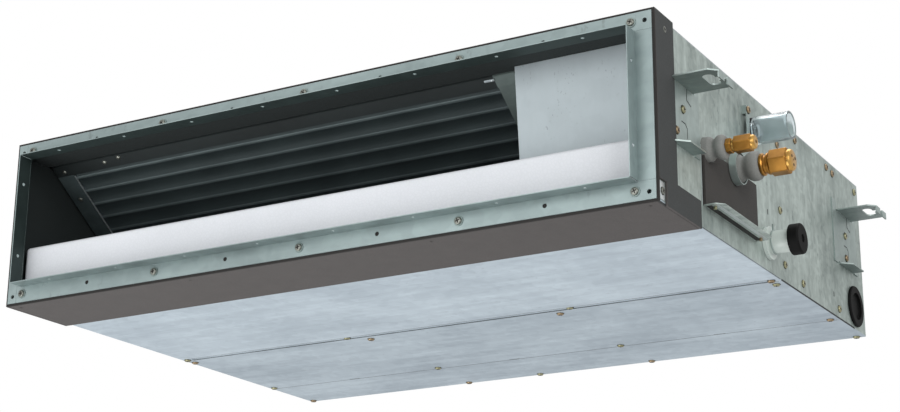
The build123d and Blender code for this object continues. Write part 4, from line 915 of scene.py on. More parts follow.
@dataclass
class Screws:
    """Pan-head screws with a cross recess, some on washers."""

    head_radius: float = 0.0042
    head_height: float = 0.002
    washer_radius: float = 0.0056
    washer_height: float = 0.001
    recess_length: float = 0.0052
    recess_width: float = 0.0011
    # Shares of the head's radius: its top, the stem and the shadow under a head with no washer
    top_share: float = 0.94
    stem_share: float = 0.45
    shadow_share: float = 1.16
    # The rounding of the head's rim as a share of its height, and the washer's taper
    rim_share: float = 0.42
    washer_taper: float = 0.96
    shadow_height: float = 0.0003
    stem_sides: int = 12
    # Points of a CAD screw farther than this from its axis are on its head
    head_limit: float = 0.0035
    # How far each screw is turned on from the one before, in radians
    turn_step: float = 2.4

    def heads(self, node: str) -> list[tuple[Vector, Vector, float]]:
        """Find where a group's screws are, from its solids.

        Args:
            node: The CAD node that groups the screws.

        Returns:
            For each screw the middle of its head's outer face, the way it faces, and its length.
        """
        bm = bmesh.new()
        bm.from_mesh(frame["nodes"][node].data)
        bmesh.ops.remove_doubles(bm, verts=bm.verts, dist=JOIN_DISTANCE)
        found = []
        left = set(bm.verts)
        while left:
            island, stack = set(), [left.pop()]
            while stack:
                vert = stack.pop()
                island.add(vert)
                near = {e.other_vert(vert) for e in vert.link_edges} & left
                left -= near
                stack += near
            low = Vector([min(v.co[k] for v in island) for k in range(3)])
            high = Vector([max(v.co[k] for v in island) for k in range(3)])
            size, middle = high - low, (low + high) / 2
            head_size = sorted(size)[1]
            axis = max(range(3), key=lambda k: abs(size[k] - head_size))
            across = [k for k in range(3) if k != axis]
            head = [v.co[axis] for v in island
                    if math.dist([v.co[k] for k in across], [middle[k] for k in across])
                    > self.head_limit]
            outward = 1.0 if sum(head) / len(head) > middle[axis] else -1.0
            facing = Vector([outward if k == axis else 0.0 for k in range(3)])
            tip = middle.copy()
            tip[axis] = high[axis] if outward > 0 else low[axis]
            found.append((tip, facing, size[axis]))
        bm.free()
        return sorted(found, key=lambda screw: tuple(round(c, 4) for c in screw[0]))

    def screw(
        self, bm: Mesh, tip: Vector, facing: Vector, length: float, washer: bool, turn: float,
        index: int,
    ) -> None:
        """Add one screw to a mesh.

        Args:
            bm: The mesh.
            tip: The middle of the head's outer face.
            facing: The way the head faces.
            length: The whole length of the screw.
            washer: Whether it has a washer.
            turn: How far its recess is turned, in radians.
            index: The head's material index; the recess and the washer take the next ones.
        """
        pose = Matrix.Translation(tip) @ facing.to_track_quat("Z", "Y").to_matrix().to_4x4()
        pose = pose @ Matrix.Rotation(turn, 4, "Z")
        back = pose.inverted()
        radius, height = self.head_radius, self.head_height

        def below(depth: float) -> Matrix:
            """Give the pose at a depth under the head's outer face."""
            return pose @ Matrix.Translation((0, 0, -depth))

        head = Shape.disc(bm, below(height / 2), radius, height, index, taper=self.top_share)
        rim = [e for e in Shape.edges_of(head)
               if all((back @ v.co).z > -height / 2 for v in e.verts)]
        Shape.break_edges(bm, rim, height * self.rim_share, 3)
        Shape.disc(bm, below((length + height) / 2), radius * self.stem_share,
                   length - height, index, self.stem_sides)
        if washer:
            Shape.disc(bm, below(height + self.washer_height / 2), self.washer_radius,
                       self.washer_height, index + 2, taper=self.washer_taper)
        else:
            # A thin dark disc under a head with no washer: a painted shadow.
            Shape.disc(bm, below(height), radius * self.shadow_share, self.shadow_height,
                       index + 1)
        # The cross recess is two dark bars: painted shade in the recess.
        for quarter in (0, 1):
            half = (self.recess_length / 2, self.recess_width / 2, MARK_DEPTH / 2)
            arm = pose @ Matrix.Rotation(quarter * math.pi / 2, 4, "Z")
            Shape.box(bm, tuple(-h for h in half), half, index + 1, arm)

    def build(self) -> None:
        """Make both groups of screws in the places of the CAD ones."""
        bm = bmesh.new()
        for number, place in enumerate(self.heads("flange_screws")):
            self.screw(bm, *place, True, number * self.turn_step, 0)
        Piece.finish(bm, "flange_screws_detailed",
                     [FLANGE_SCREW_STEEL, DARK_CLIP_AND_PAINTED_SHADE, BRACKET_PAINTED_SHADE_AND_WASHER], ("flange_screws",))
        bm = bmesh.new()
        for number, place in enumerate(self.heads("casing_screws")):
            self.screw(bm, *place, False, number * self.turn_step, 2 * (number % 2))
        Piece.finish(bm, "casing_screws_detailed",
                     [SCREW_ZINC, DARK_CLIP_AND_PAINTED_SHADE, SCREW_COPPER, DARK_CLIP_AND_PAINTED_SHADE], ("casing_screws",))


@dataclass
class Casing:
    """The sheet casing: top, sides, bottom panels, collar flange and its foam band."""

    sheet_edge: float = 0.00025
    foam_edge: float = 0.0006
    sheets: dict[str, Finish] = field(default_factory=lambda: {
        "top_panel": TOP_ZINC,
        "side_plate_left": SIDE_ZINC,
        "side_plate_right": SIDE_ZINC,
        "front_sill": BOTTOM_ZINC,
        "bottom_panel_front": BOTTOM_ZINC,
        # The middle and rear panels carry painted shade.
        "bottom_panel_middle": REAR_BOTTOM_PAINTED_SHADE,
        "bottom_panel_rear": REAR_BOTTOM_PAINTED_SHADE,
        "rear_inlet_frame": TOP_ZINC,
        "rear_closing_plate": TOP_ZINC,
        "piping_cover_panel": COVER_ZINC,
    })
    # The heights and the X past which the flange's faces belong to its lips, in painted shade
    flange_foot: float = 0.015
    flange_head: float = 0.15
    flange_left: float = -0.39
    # Each bottom seam's line of painted shade: distance behind the flange, width, ends and top
    seams: Pairs = ((0.3354, 0.0013), (0.3445, 0.0010), (0.5455, 0.0016))
    seam_inset: float = 0.004
    seam_top: float = 0.0011
    # The tongues at the last seam: their X, distance behind the flange, half size and heights
    tongues: tuple[float, ...] = (-0.281, -0.027, 0.266)
    tongue_depth: float = 0.5440
    tongue_half: Pair = (0.008, 0.0011)
    tongue_heights: Pair = (-0.00005, 0.0006)
    # Painted shade at the side plates' feet: from and to behind the flange, bottom and top
    foot_lines: tuple[tuple[float, ...], ...] = (
        (0.110, 0.340, 0.0005, 0.0015), (0.344, 0.600, 0.0001, 0.0021),
    )
    foot_line_half: float = 0.0003
    # Slits in the brackets' webs, drawn as painted shade: distances behind the flange, heights
    web_face: float = SIDE + 0.0016
    slit_width: float = 0.0012
    slits: tuple[Pairs, ...] = (
        ((0.082, 0.142), (0.0806, 0.129), (0.092, 0.125)),
        ((0.0655, 0.101), (0.075, 0.101), (0.080, 0.097), (0.0795, 0.086)),
        ((0.060, 0.0755), (0.078, 0.0755)),
        ((0.5905, 0.142), (0.5895, 0.129), (0.601, 0.125)),
        ((0.574, 0.101), (0.584, 0.101), (0.589, 0.097), (0.5885, 0.086)),
    )
    # Upright lines of painted shade in the side plates: depth behind the flange, foot, top,
    # width
    side_lines: tuple[tuple[float, ...], ...] = (
        (0.310, 0.069, 0.075, 0.002), (0.528, 0.025, 0.031, 0.002),
        (0.1131, 0.076, 0.152, 0.0012), (0.6231, 0.076, 0.152, 0.0007),
    )
    # How far the painted shade in the gap stands out all round, and its reach behind the front
    gap_proud: float = 0.0027
    gap_reach: Pair = (0.0011, 0.0030)
    # The holes for the duct's screws, and the depth and thickness of their plugs of painted
    # shade
    duct_hole_x: tuple[float, ...] = (-0.3, -0.1, 0.1, 0.3)
    duct_hole_inset: float = 0.011
    duct_hole_radius: float = 0.00245
    plug_depth: float = 0.00125
    plug_thickness: float = 0.0013
    # The earth plate's corners and the width of its broken edges
    plate: Block = (
        (SIDE - MARK_DEPTH, FRONT + 0.0045, 0.0015), (SIDE + 0.0012, FRONT + 0.0175, 0.0205),
    )
    plate_edge: float = 0.0004
    # The screws by the band: their sizes, those on the right with their turns, those below
    band_screws: Screws = field(default_factory=lambda: Screws(
        head_radius=0.0038, head_height=0.0014, recess_length=0.0042,
    ))
    band_screw_length: float = 0.006
    right_heads: tuple[tuple[Point, float], ...] = (
        ((SIDE + 0.0026, FRONT + 0.0125, 0.0105), 0.6),
        ((SIDE + 0.0032, FRONT + 0.0265, 0.1875), 0.2),
    )
    lower_heads_x: tuple[float, ...] = (-0.411, -0.157, 0.160, 0.411)
    lower_heads: Pair = (FRONT + 0.012, -0.0029)

    def build(self) -> None:
        """Dress the sheets and the foam, and add the stamped lines."""
        # Broken edges of sheets, brackets and flange take the bright finish: a painted
        # highlight.
        for node, finish in self.sheets.items():
            Piece.softened(node, [finish, BRIGHT_ZINC_AND_HIGHLIGHT], self.sheet_edge, edge_index=1)
        # The brackets' downward faces take the darker zinc as painted shade.
        Piece.softened("hanger_brackets", [BRACKET_ZINC, BRIGHT_ZINC_AND_HIGHLIGHT, BRACKET_PAINTED_SHADE_AND_WASHER], 0.0005, 3,
                       chooser=lambda middle, normal: 2 * int(normal.z < -LOOKING),
                       edge_index=1)
        Piece.softened(
            "outlet_flange", [FLANGE_ZINC, BRIGHT_ZINC_AND_HIGHLIGHT, FLANGE_PAINTED_SHADE, FLANGE_LIP_PAINTED_SHADE], self.sheet_edge,
            chooser=self._flange_face, edge_index=1,
        )
        # The band's sideways faces take the darker foam as painted shade.
        Piece.softened("foam_band", [BAND_FOAM, BAND_FOAM_PAINTED_SIDE_SHADE], self.foam_edge, 3,
                       chooser=lambda middle, normal: int(abs(normal.x) > LOOKING))
        Piece.softened("chamber_lining", [DARK_FOAM], self.foam_edge)
        self._bottom_seams()
        self._stamped_lines()
        self._band_fixings()
        self._band_gap()

    def _flange_face(self, middle: Vector, normal: Vector) -> int:
        """Tell the lips' faces in painted shade from the rest of the flange.

        Args:
            middle: The face's middle.
            normal: The face's normal.

        Returns:
            The face's material index.
        """
        under = normal.z < -LOOKING and middle.z > self.flange_foot
        left = normal.x > LOOKING and middle.x < self.flange_left
        if left or (under and middle.z > self.flange_head):
            return 2
        return 3 if under else 0

    def _bottom_seams(self) -> None:
        """Lay painted shade where the bottom panels meet each other and the side plates."""
        bm = bmesh.new()
        reach = SIDE - self.seam_inset
        for depth, width in self.seams:
            y = FRONT + depth
            Shape.box(bm, (-reach, y - width / 2, 0.0), (reach, y + width / 2, self.seam_top))
        y = FRONT + self.tongue_depth
        across, along = self.tongue_half
        bottom, top = self.tongue_heights
        for x in self.tongues:
            Shape.box(bm, (x - across, y - along, bottom), (x + across, y + along, top))
        for side in (-SIDE, SIDE):
            low, high = side - self.foot_line_half, side + self.foot_line_half
            for index, (near, far, bottom, top) in enumerate(self.foot_lines):
                Shape.box(bm, (low, FRONT + near, bottom), (high, FRONT + far, top), index)
        Piece.finish(bm, "bottom_seam_painted_shade", [SEAM_PAINTED_SHADE, LINE_PAINTED_SHADE])

    def _stamped_lines(self) -> None:
        """Paint shade into the brackets' slits and the side plates' slots and edges."""
        bm = bmesh.new()
        for sign in (-1.0, 1.0):
            facing = (sign, 0.0, 0.0)
            for line in self.slits:
                points = [(sign * self.web_face, FRONT + depth, z) for depth, z in line]
                for start, end in zip(points, points[1:]):
                    Shape.strip(bm, start, end, facing, self.slit_width)
            for depth, foot, top, width in self.side_lines:
                place = (sign * SIDE, FRONT + depth)
                Shape.strip(bm, (*place, foot), (*place, top), facing, width)
        Piece.finish(bm, "stamped_slits_painted_shade", [LINE_PAINTED_SHADE])

    def _band_gap(self) -> None:
        """Paint shade into the narrow gap between flange and foam band, and the duct holes."""
        bm = bmesh.new()
        near, far = (FRONT + depth for depth in self.gap_reach)
        proud = self.gap_proud
        width = proud + MARK_DEPTH
        for x in (-SIDE - proud, SIDE - MARK_DEPTH):
            Shape.box(bm, (x, near, -proud), (x + width, far, HEIGHT + proud))
        for z in (-proud, HEIGHT - MARK_DEPTH):
            Shape.box(bm, (-SIDE, near, z), (SIDE, far, z + width))
        for x in self.duct_hole_x:
            for z in (self.duct_hole_inset, HEIGHT - self.duct_hole_inset):
                pose = Matrix.Translation((x, FRONT + self.plug_depth, z)) @ ALONG_Y
                Shape.disc(bm, pose, self.duct_hole_radius, self.plug_thickness)
        Piece.finish(bm, "band_gap_painted_shade", [DARK_CLIP_AND_PAINTED_SHADE])

    def _band_fixings(self) -> None:
        """Add the small earth plate in the band's notch and the screws through the band."""
        bm = bmesh.new()
        Shape.break_edges(bm, Shape.edges_of(Shape.box(bm, *self.plate)), self.plate_edge)
        right, down = Vector((1.0, 0.0, 0.0)), Vector((0.0, 0.0, -1.0))
        heads = [(place, right, turn) for place, turn in self.right_heads]
        heads += [((x, *self.lower_heads), down, x * 9) for x in self.lower_heads_x]
        for tip, facing, turn in heads:
            self.band_screws.screw(bm, Vector(tip), facing, self.band_screw_length, False,
                                   turn, 1)
        Piece.finish(bm, "band_fixings", [BRIGHT_ZINC_AND_HIGHLIGHT, FLANGE_SCREW_STEEL, DARK_CLIP_AND_PAINTED_SHADE])


@dataclass
class HeatExchanger:
    """The finned block, its tubes, plates and the drain pan under it."""

    top: Pair = (-0.2645, 0.175)
    lean: float = math.radians(35.497)
    run: float = 0.2325
    thickness: float = 0.0266
    reach: Pair = (-0.384, 0.216)
    # How far inside the block's right end the top strip is cut, and the pale plates begin
    strip_cut: float = 0.0005
    pale_start: float = 0.0006
    clearance: float = 0.0002
    first_row: float = 0.006
    row_pitch: float = 0.021
    crest_half: float = 0.0034
    crest_height: float = 0.0014
    # The flat between two crests as a share of its mouth
    crest_flat: float = 0.55
    # How far behind the face a part of the block still counts as its face
    face_slack: float = 0.0001
    # Places on the block's face, as X and distance down the slope
    rivets: Pairs = (
        (-0.3956, -0.0061), (-0.330, -0.0086), (-0.3065, -0.0115), (-0.398, 0.037),
        (0.2285, 0.030), (0.2285, 0.095), (0.2285, 0.160),
    )
    clips: Pairs = ((0.228, 0.036), (0.236, 0.120))
    tag_place: Pair = (0.2096, -0.0115)
    tag_rivet_place: Point = (0.2128, -0.0112, 0.0021)
    left_edge_inset: float = 0.0003
    # How far in front of the face the rivets' middles and the other trim's lie
    rivet_out: float = 0.0009
    trim_out: float = 0.001
    # Radius and height of the rivets, and corners across, down and out of the other trim
    rivet: Pair = (0.0032, 0.0018)
    tag_rivet: Pair = (0.0013, 0.0006)
    left_edge_highlight: Block = ((-0.0004, 0.002, -0.0012), (0.0004, 0.184, 0.0004))
    tag: Block = ((-0.0063, -0.0015, -0.0004), (0.0063, 0.0015, 0.0012))
    tag_edge: float = 0.0006
    clip: Block = ((-0.0016, -0.0045, -0.0003), (0.0016, 0.0045, 0.0012))

    def pose(self, x: float, run: float, out: float) -> Matrix:
        """Give a place on the block's face, with Z away from it and Y down the slope.

        Args:
            x: The place along X.
            run: How far down the slope it is.
            out: How far in front of the face it is.

        Returns:
            The pose in the row's frame.
        """
        down = Vector((0.0, math.cos(self.lean), -math.sin(self.lean)))
        away = Vector((0.0, -math.sin(self.lean), -math.cos(self.lean)))
        turn = Matrix((Vector((-1.0, 0.0, 0.0)), down, away)).transposed().to_4x4()
        return Matrix.Translation(Vector((x, *self.top)) + down * run + away * out) @ turn

    def build(self) -> None:
        """Build the fin block and its trim, and dress the rest."""
        self._fin_block()
        self._trim()
        dress(COPPER, "coil_tubes")
        Piece.softened("coil_end_plates", [COIL_DARK, COIL_PALE, BRIGHT_ZINC_AND_HIGHLIGHT], 0.0002,
                       chooser=self._right_hand)
        Piece.softened("coil_top_strip", [COIL_SHADE, COIL_PALE], 0.0002,
                       chooser=self._right_hand, split=self.reach[1] - self.strip_cut)
        dress(INNER_ZINC, "piping_wall")
        Piece.softened("drain_pan", [PAN_FOAM], 0.001, 3)

    def _right_hand(self, middle: Vector, normal: Vector) -> int:
        """Tell the pale right-hand plates from the shaded rest."""
        return int(middle.x > self.reach[1] - self.pale_start)

    def _fin_block(self) -> None:
        """Extrude the corrugated section of the fins along the coil."""
        crest, thickness = self.crest_height, self.thickness
        outer, inner = self.crest_half, self.crest_half * self.crest_flat
        section = [(0.0, crest)]
        for row in range(int(self.run / self.row_pitch)):
            middle = self.first_row + row * self.row_pitch
            section += [(middle - outer, crest), (middle - inner, 0.0),
                        (middle + inner, 0.0), (middle + outer, crest)]
        section += [(self.run, crest), (self.run, thickness), (0.0, thickness)]
        start, end = self.reach[0] + self.clearance, self.reach[1] - self.clearance
        bm = bmesh.new()
        Shape.prism(bm, [self.pose(start, run, -depth).translation for run, depth in section],
                    (end - start, 0.0, 0.0))
        # The ridges' front faces take the lighter finish as a painted highlight.
        back = self.pose(0.0, 0.0, 0.0).inverted()
        for face in bm.faces:
            front = (back @ face.calc_center_median()).z > -self.face_slack
            face.material_index = int(front and abs(face.normal.x) < LOOKING)
        Piece.finish(bm, "coil_fins_corrugated", [FIN_METAL, FIN_CREST_HIGHLIGHT], ("coil_fins",), 60.0)

    def _trim(self) -> None:
        """Add rivets, the left edge's painted highlight, the tag at the top and the two clips.
        """
        bm = bmesh.new()
        for x, run in self.rivets:
            Shape.dome(bm, self.pose(x, run, self.rivet_out), *self.rivet)
        # A bright strip along the left plate's edge is a painted highlight.
        Shape.box(bm, *self.left_edge_highlight, 1,
                  self.pose(self.reach[0] - self.left_edge_inset, 0.0, self.trim_out))
        tag = Shape.box(bm, *self.tag, 2, self.pose(*self.tag_place, self.trim_out))
        Shape.break_edges(bm, Shape.edges_of(tag), self.tag_edge)
        Shape.dome(bm, self.pose(*self.tag_rivet_place), *self.tag_rivet, 1)
        for x, run in self.clips:
            Shape.box(bm, *self.clip, 3, self.pose(x, run, self.trim_out))
        Piece.finish(bm, "coil_trim", [FLANGE_SCREW_STEEL, BRIGHT_ZINC_AND_HIGHLIGHT, COVER_ZINC, DARK_CLIP_AND_PAINTED_SHADE])


@dataclass
class Connections:
    """Pipes, nuts, sleeves, drain fittings and the cable bush on the right side."""

    liquid_axis: Pair = (FRONT + 0.131, 0.090)
    gas_axis: Pair = (FRONT + 0.204, 0.090)
    socket_axis: Pair = (FRONT + 0.270, 0.155)
    port_axis: Pair = (FRONT + 0.306, 0.034)
    # Edges of brass below this angle shade smooth, in degrees
    brass_smooth: float = 25.0
    # Where each pipe ends inside its union, and the hexagon of the liquid pipe's union
    pipe_cuts: dict[str, float] = field(default_factory=lambda: {
        "liquid_pipe": 0.4460, "gas_pipe": 0.4560,
    })
    union_reach: Pair = (0.4466, 0.4530)
    union_flats: float = 0.0150
    liquid_union: Pairs = (
        (0.4440, 0.0022), (0.4440, 0.0032), (0.4466, 0.0032), (0.4530, 0.0062),
        (0.4536, 0.0070), (0.4552, 0.0070), (0.4557, 0.0062), (0.4557, 0.0022),
    )
    gas_union: Pairs = (
        (0.4540, 0.0040), (0.4540, 0.0062), (0.4566, 0.0062), (0.4567, 0.0110),
        (0.4575, 0.0122), (0.4596, 0.0124), (0.4608, 0.0114), (0.4612, 0.0098),
        (0.4636, 0.0096), (0.4640, 0.0112), (0.4650, 0.0121), (0.4668, 0.0121),
        (0.4677, 0.0112), (0.4677, 0.0040),
    )
    liquid_collar: Pairs = (
        (0.4735, 0.0020), (0.4735, 0.0078), (0.4765, 0.0078), (0.4780, 0.0070),
        (0.4788, 0.0055), (0.4788, 0.0020),
    )
    gas_collar: Pairs = (
        (0.4870, 0.0012), (0.4870, 0.0121), (0.4902, 0.0121), (0.4920, 0.0112),
        (0.4927, 0.0096), (0.4927, 0.0012),
    )
    # Each nut's reach along X, its width across flats and the width of its broken edges
    liquid_nut: tuple[Pair, float, float] = ((0.4558, 0.4745), 0.0170, 0.0007)
    gas_nut: tuple[Pair, float, float] = ((0.4678, 0.4880), 0.0260, 0.0009)
    # Small holes in the gas nut's end, dark discs of painted shade: from its axis, X and radius
    nut_holes: Pairs = ((-0.0048, 0.0030), (0.0050, 0.0026), (0.0002, -0.0056))
    nut_hole_x: float = 0.49268
    nut_hole_radius: float = 0.0017
    nut_hole_sides: int = 20
    # Each sleeve's bore and outer radius and where it ends; both start at the same X
    sleeves: tuple[Point, ...] = ((0.00335, 0.0135, 0.4465), (0.0065, 0.0165, 0.4565))
    sleeve_start: float = 0.3775
    sleeve_chamfer: float = 0.001
    # The sleeves' outline past the side plate, as shares of their reach and of their radius
    sleeve_outline: Pairs = (
        (0.22, 1.0), (0.32, 0.95), (0.42, 0.76), (0.53, 0.7486), (0.62, 0.90), (0.72, 0.985),
        (0.84, 0.99), (0.94, 0.92), (1.0, 0.78),
    )
    socket_wall: Pairs = (
        (0.3985, 0.0074), (0.3985, 0.0090), (0.4276, 0.0090), (0.4276, 0.0152),
        (0.4284, 0.0160), (0.4655, 0.0160), (0.4662, 0.0157), (0.4672, 0.0160),
        (0.4688, 0.0160), (0.4694, 0.0154), (0.4694, 0.0140), (0.4686, 0.0132),
        (0.4305, 0.0132), (0.4305, 0.0074),
    )
    socket_ring: Pairs = (
        (0.4227, 0.0112), (0.4227, 0.0150), (0.4237, 0.0156), (0.4261, 0.0156),
        (0.4272, 0.0148), (0.4272, 0.0112),
    )
    port_clip: Pairs = (
        (0.4300, 0.0128), (0.4300, 0.0139), (0.4304, 0.0143), (0.4314, 0.0143),
        (0.4318, 0.0139), (0.4318, 0.0128),
    )
    # The clip's tail: its corners, as X and the way from the port's axis
    clip_tail: Block = ((0.4301, -0.0060, 0.0120), (0.4317, -0.0042, 0.0200))
    # Painted shade in the gaps and bright cut edges with a painted highlight, in turn along the
    # pipe window and its cover's ledge, by their corners
    window_shade_and_highlights: tuple[Block, ...] = (
        ((0.4238, FRONT + 0.124, 0.0262), (0.4300, FRONT + 0.266, 0.0265)),
        ((0.4330, FRONT + 0.122, 0.0262), (0.4374, FRONT + 0.268, 0.0265)),
        ((0.4214, FRONT + 0.1185, 0.0262), (0.4227, FRONT + 0.1207, 0.0925)),
        ((0.4214, FRONT + 0.1175, 0.0262), (0.42285, FRONT + 0.1183, 0.0925)),
    )
    # Faces of the pipe cover past this X and above this height are foam
    foam_x: float = 0.42125
    foam_foot: float = 0.0274
    # The ledge under the pipe cover: its inner and outer X, where it begins and ends behind the
    # flange, its cut corners, its underside and its thickness
    ledge_x: Pair = (0.4290, 0.4436)
    ledge_y: Pair = (FRONT + 0.1203, FRONT + 0.2697)
    ledge_corner: float = 0.008
    ledge_foot: float = 0.02625
    ledge_sheet: float = 0.0011
    ledge_edge: float = 0.0003
    inner_parts: dict[Finish, tuple[str, ...]] = field(default_factory=lambda: {
        SOCKET_PLASTIC: ("drain_hose",),
        WHITE_PLASTIC: ("drain_pump", "float_stem", "pan_float"),
        GREY_PLASTIC: ("pump_impeller",),
        INNER_ZINC: ("pump_bracket",),
    })

    def build(self) -> None:
        """Build the fittings in view and dress those inside."""
        for finish, nodes in self.inner_parts.items():
            dress(finish, *nodes)
        self._pipes()
        self._nuts()
        self._sleeves()
        self._drain()
        Piece.softened("pipe_cover", [SIDE_ZINC, BRIGHT_ZINC_AND_HIGHLIGHT, COVER_FOAM], 0.0004,
                       chooser=self._cover_face)
        self._ledge()
        # The strap's broken edges take the bright finish: a painted highlight.
        Piece.softened("pipe_strap", [BRACKET_ZINC, BRIGHT_ZINC_AND_HIGHLIGHT], 0.0003, edge_index=1)
        Piece.softened("cable_bush", [BLACK_RUBBER], 0.0007, 3)
        self._window_edge()

    def _cover_face(self, middle: Vector, normal: Vector) -> int:
        """Tell the pipe cover's foam from its sheet."""
        return 2 if middle.x > self.foam_x and middle.z > self.foam_foot else 0

    def _ledge(self) -> None:
        """Widen the ledge under the pipe cover to the width that the photo shows."""
        (inner, outer), (near, far) = self.ledge_x, self.ledge_y
        corner = self.ledge_corner
        outline = ((inner, near), (outer - corner, near), (outer, near + corner),
                   (outer, far - corner), (outer - corner, far), (inner, far))
        bm = bmesh.new()
        Shape.prism(bm, [(*point, self.ledge_foot) for point in outline],
                    (0.0, 0.0, self.ledge_sheet))
        bmesh.ops.recalc_face_normals(bm, faces=bm.faces[:])
        Shape.break_edges(bm, bm.edges[:], self.ledge_edge)
        Piece.finish(bm, "pipe_cover_ledge", [SIDE_ZINC])

    def _pipes(self) -> None:
        """Cut both pipes inside their sleeves and turn their brass unions."""
        for node, cut in self.pipe_cuts.items():
            bm = Piece.copy(node)
            bmesh.ops.holes_fill(bm, edges=Shape.cut(bm, cut, True))
            if node == "liquid_pipe":
                Shape.hexagon(bm, self.union_reach, self.union_flats, self.liquid_axis, 1)
                Shape.lathe(bm, self.liquid_union, self.liquid_axis, 2)
            else:
                Shape.lathe(bm, self.gas_union, self.gas_axis, 1)
            Piece.finish(bm, node + "_with_union", [COPPER, BRASS, BRIGHT_BRASS], (node,),
                         self.brass_smooth)

    def _nuts(self) -> None:
        """Make both flare nuts with their rounded collars."""
        bm = bmesh.new()
        reach, flats, corner = self.liquid_nut
        Shape.hexagon(bm, reach, flats, self.liquid_axis, corner=corner)
        Shape.lathe(bm, self.liquid_collar, self.liquid_axis, 1)
        Piece.finish(bm, "liquid_flare_nut_turned", [BRASS, BRIGHT_BRASS],
                     ("liquid_flare_nut",), self.brass_smooth)
        bm = bmesh.new()
        reach, flats, corner = self.gas_nut
        Shape.hexagon(bm, reach, flats, self.gas_axis, corner=corner)
        Shape.lathe(bm, self.gas_collar, self.gas_axis, 1)
        for y, z in self.nut_holes:
            place = (self.nut_hole_x, self.gas_axis[0] + y, self.gas_axis[1] + z)
            Shape.disc(bm, Matrix.Translation(place) @ ALONG_X, self.nut_hole_radius,
                       MARK_DEPTH, 2, self.nut_hole_sides)
        Piece.finish(bm, "gas_flare_nut_turned", [BRASS, BRIGHT_BRASS, DARK_CLIP_AND_PAINTED_SHADE],
                     ("gas_flare_nut",), self.brass_smooth)

    def _sleeves(self) -> None:
        """Turn the two soft sleeves, each with a waist and a bulb at its end."""
        bm = bmesh.new()
        start, cut = self.sleeve_start, self.sleeve_chamfer
        for axis, (bore, outer, end) in zip((self.liquid_axis, self.gas_axis), self.sleeves):
            outline = [(start, bore), (start, outer - cut), (start + cut, outer)]
            outline += [(SIDE + (end - SIDE) * out, outer * share)
                        for out, share in self.sleeve_outline]
            Shape.lathe(bm, (*outline, (end, bore)), axis)
        Piece.finish(bm, "pipe_sleeves_bellows", [SLEEVE_FOAM], ("pipe_sleeves",), 50.0)

    def _drain(self) -> None:
        """Turn the clear socket, its rubber ring, the port's clip, and soften the cap."""
        bm = bmesh.new()
        Shape.lathe(bm, self.socket_wall, self.socket_axis)
        Piece.finish(bm, "drain_socket_clear", [SOCKET_PLASTIC], ("drain_socket",), 40.0)
        bm = bmesh.new()
        Shape.lathe(bm, self.socket_ring, self.socket_axis)
        Piece.finish(bm, "drain_socket_ring", [BLACK_RUBBER])
        bm = bmesh.new()
        Shape.lathe(bm, self.port_clip, self.port_axis)
        Shape.box(bm, *((x, self.port_axis[0] + y, self.port_axis[1] + z)
                        for x, y, z in self.clip_tail))
        Piece.finish(bm, "drain_port_clip", [BRACKET_ZINC])
        dress(PORT_PLASTIC, "drain_port")
        Piece.softened("drain_cap", [BLACK_RUBBER], 0.0008, 3)

    def _window_edge(self) -> None:
        """Paint shade in gaps and highlights on cut edges at the pipe window and its cover's
        ledge.
        """
        bm = bmesh.new()
        for number, block in enumerate(self.window_shade_and_highlights):
            Shape.box(bm, *block, number % 2)
        Piece.finish(bm, "pipe_window_shade_and_highlight", [DARK_CLIP_AND_PAINTED_SHADE, BRIGHT_ZINC_AND_HIGHLIGHT])


@dataclass
class FanSection:
    """The fans, their motor and housings, the electrical box and the filter."""

    parts: dict[Finish, tuple[str, ...]] = field(default_factory=lambda: {
        INNER_ZINC: ("fan_deck", "motor_cradle", "motor_straps", "fan_chamber_wall",
                     "electrical_box", "electrical_box_cover"),
        GREY_PLASTIC: ("scroll_upper_left", "scroll_lower_left", "scroll_upper_right",
                       "scroll_lower_right"),
        WHITE_PLASTIC: ("fan_wheel_left", "fan_wheel_right", "terminal_block"),
        MOTOR_PAINT: ("motor_case",),
        STEEL: ("motor_stator", "motor_rotor", "motor_bearings"),
        BLACK_RUBBER: ("motor_rubber_rings",),
        FILTER_NET: ("air_filter",),
        BOARD_GREEN: ("control_board",),
    })

    def build(self) -> None:
        """Dress the fan section."""
        for finish, nodes in self.parts.items():
            dress(finish, *nodes)


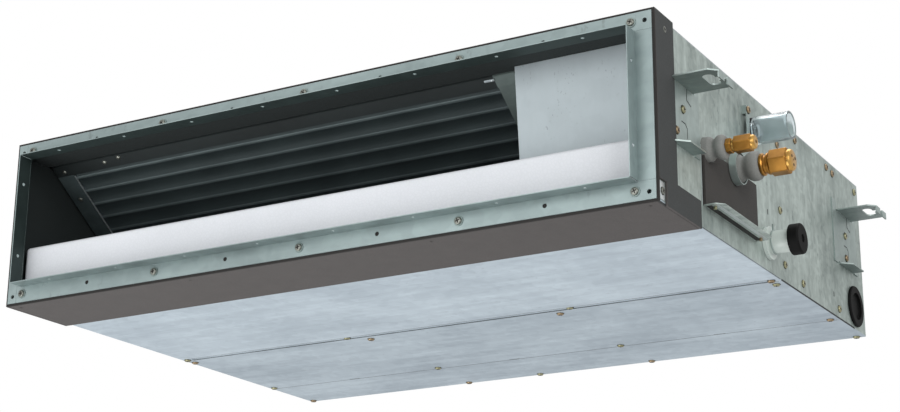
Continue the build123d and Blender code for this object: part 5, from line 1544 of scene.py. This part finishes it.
@dataclass
class Studio:
    """The floor, the light and the camera."""

    floor_height: float = -2.6
    floor_size: float = 40.0
    floor_grey: float = 0.86
    floor_roughness: float = 0.9
    camera_place: Point = (1.1057, -1.8903, -0.5564)
    azimuth: float = math.radians(30.30)
    pitch: float = math.radians(17.84)
    roll: float = math.radians(0.41)
    lens: float = 73.37
    sensor: float = 36.0
    world_strength: float = 0.72
    # Each lamp's place, target, size and power
    lamps: dict[str, tuple[Point, Point, float, float]] = field(default_factory=lambda: {
        "below": ((-0.7, -1.2, -1.1), (-0.2, -0.1, 0.0), 1.5, 19.8),
        "front": ((-0.5, -2.9, 0.5), (0.0, -0.3, 0.1), 1.6, 19.0),
        "right": ((2.4, -1.5, 0.5), (0.4, 0.0, 0.1), 1.3, 26.0),
        "above": ((0.0, 0.6, 2.2), (0.0, 0.0, 0.2), 1.8, 26.0),
    })

    def build(self) -> None:
        """Set up everything round the object."""
        self._floor()
        self._world()
        for name, (place, target, size, power) in self.lamps.items():
            data = bpy.data.lights.new("lamp_" + name, "AREA")
            data.size = size
            data.energy = power
            lamp = bpy.data.objects.new("lamp_" + name, data)
            aim = (Vector(target) - Vector(place)).to_track_quat("-Z", "Y")
            lamp.matrix_world = Matrix.Translation(place) @ aim.to_matrix().to_4x4()
            bpy.context.scene.collection.objects.link(lamp)
        self._camera()
        bpy.context.scene.view_settings.view_transform = "Standard"

    def _floor(self) -> None:
        """Lay the pale floor well below the hanging unit."""
        bm = bmesh.new()
        bmesh.ops.create_grid(bm, x_segments=1, y_segments=1, size=self.floor_size / 2,
                              matrix=Matrix.Translation((0, 0, self.floor_height)))
        floor = Piece.place(bm, "studio_floor")
        paint = bpy.data.materials.new("floor_paint")
        paint.use_nodes = True
        grey = (self.floor_grey, self.floor_grey, self.floor_grey, 1.0)
        NodeSheet(paint.node_tree).feed(
            paint.node_tree.nodes["Principled BSDF"],
            {"Base Color": grey, "Roughness": self.floor_roughness},
        )
        floor.data.materials.append(paint)

    def _world(self) -> None:
        """Light from all round, with a plain white background behind the object."""
        world = bpy.data.worlds.new("soft_studio")
        bpy.context.scene.world = world
        world.use_nodes = True
        sheet = NodeSheet(world.node_tree)
        rays = sheet.add("LightPath").outputs
        seen = sheet.math("MAXIMUM", rays["Is Camera Ray"], rays["Is Transmission Ray"])
        extra = sheet.times(seen, 1.0 - self.world_strength)
        sheet.feed(world.node_tree.nodes["Background"],
                   {"Color": (1.0, 1.0, 1.0, 1.0),
                    "Strength": sheet.math("ADD", extra, self.world_strength)})

    def _camera(self) -> None:
        """Stand the camera where the photograph's perspective puts it."""
        level = math.cos(self.pitch)
        ahead = Vector((-math.sin(self.azimuth) * level, math.cos(self.azimuth) * level,
                        math.sin(self.pitch)))
        right = ahead.cross(Vector((0, 0, 1))).normalized()
        up = right.cross(ahead)
        turned = right * math.cos(self.roll) + up * math.sin(self.roll)
        upright = up * math.cos(self.roll) - right * math.sin(self.roll)
        data = bpy.data.cameras.new("photo_camera")
        data.lens = self.lens
        data.sensor_width = self.sensor
        data.sensor_fit = "HORIZONTAL"
        camera = bpy.data.objects.new("photo_camera", data)
        turn = Matrix((turned, upright, -ahead)).transposed().to_4x4()
        camera.matrix_world = Matrix.Translation(self.camera_place) @ turn
        bpy.context.scene.collection.objects.link(camera)
        bpy.context.scene.camera = camera


def main() -> None:
    """Build the looks in order."""
    logging.basicConfig(level=logging.INFO, format="%(message)s")
    for assembly in (Studio(), Casing(), HeatExchanger(), Connections(), FanSection(), Screws()):
        assembly.build()
        log.info("built %s", type(assembly).__name__)


if __name__ == "__main__":
    main()
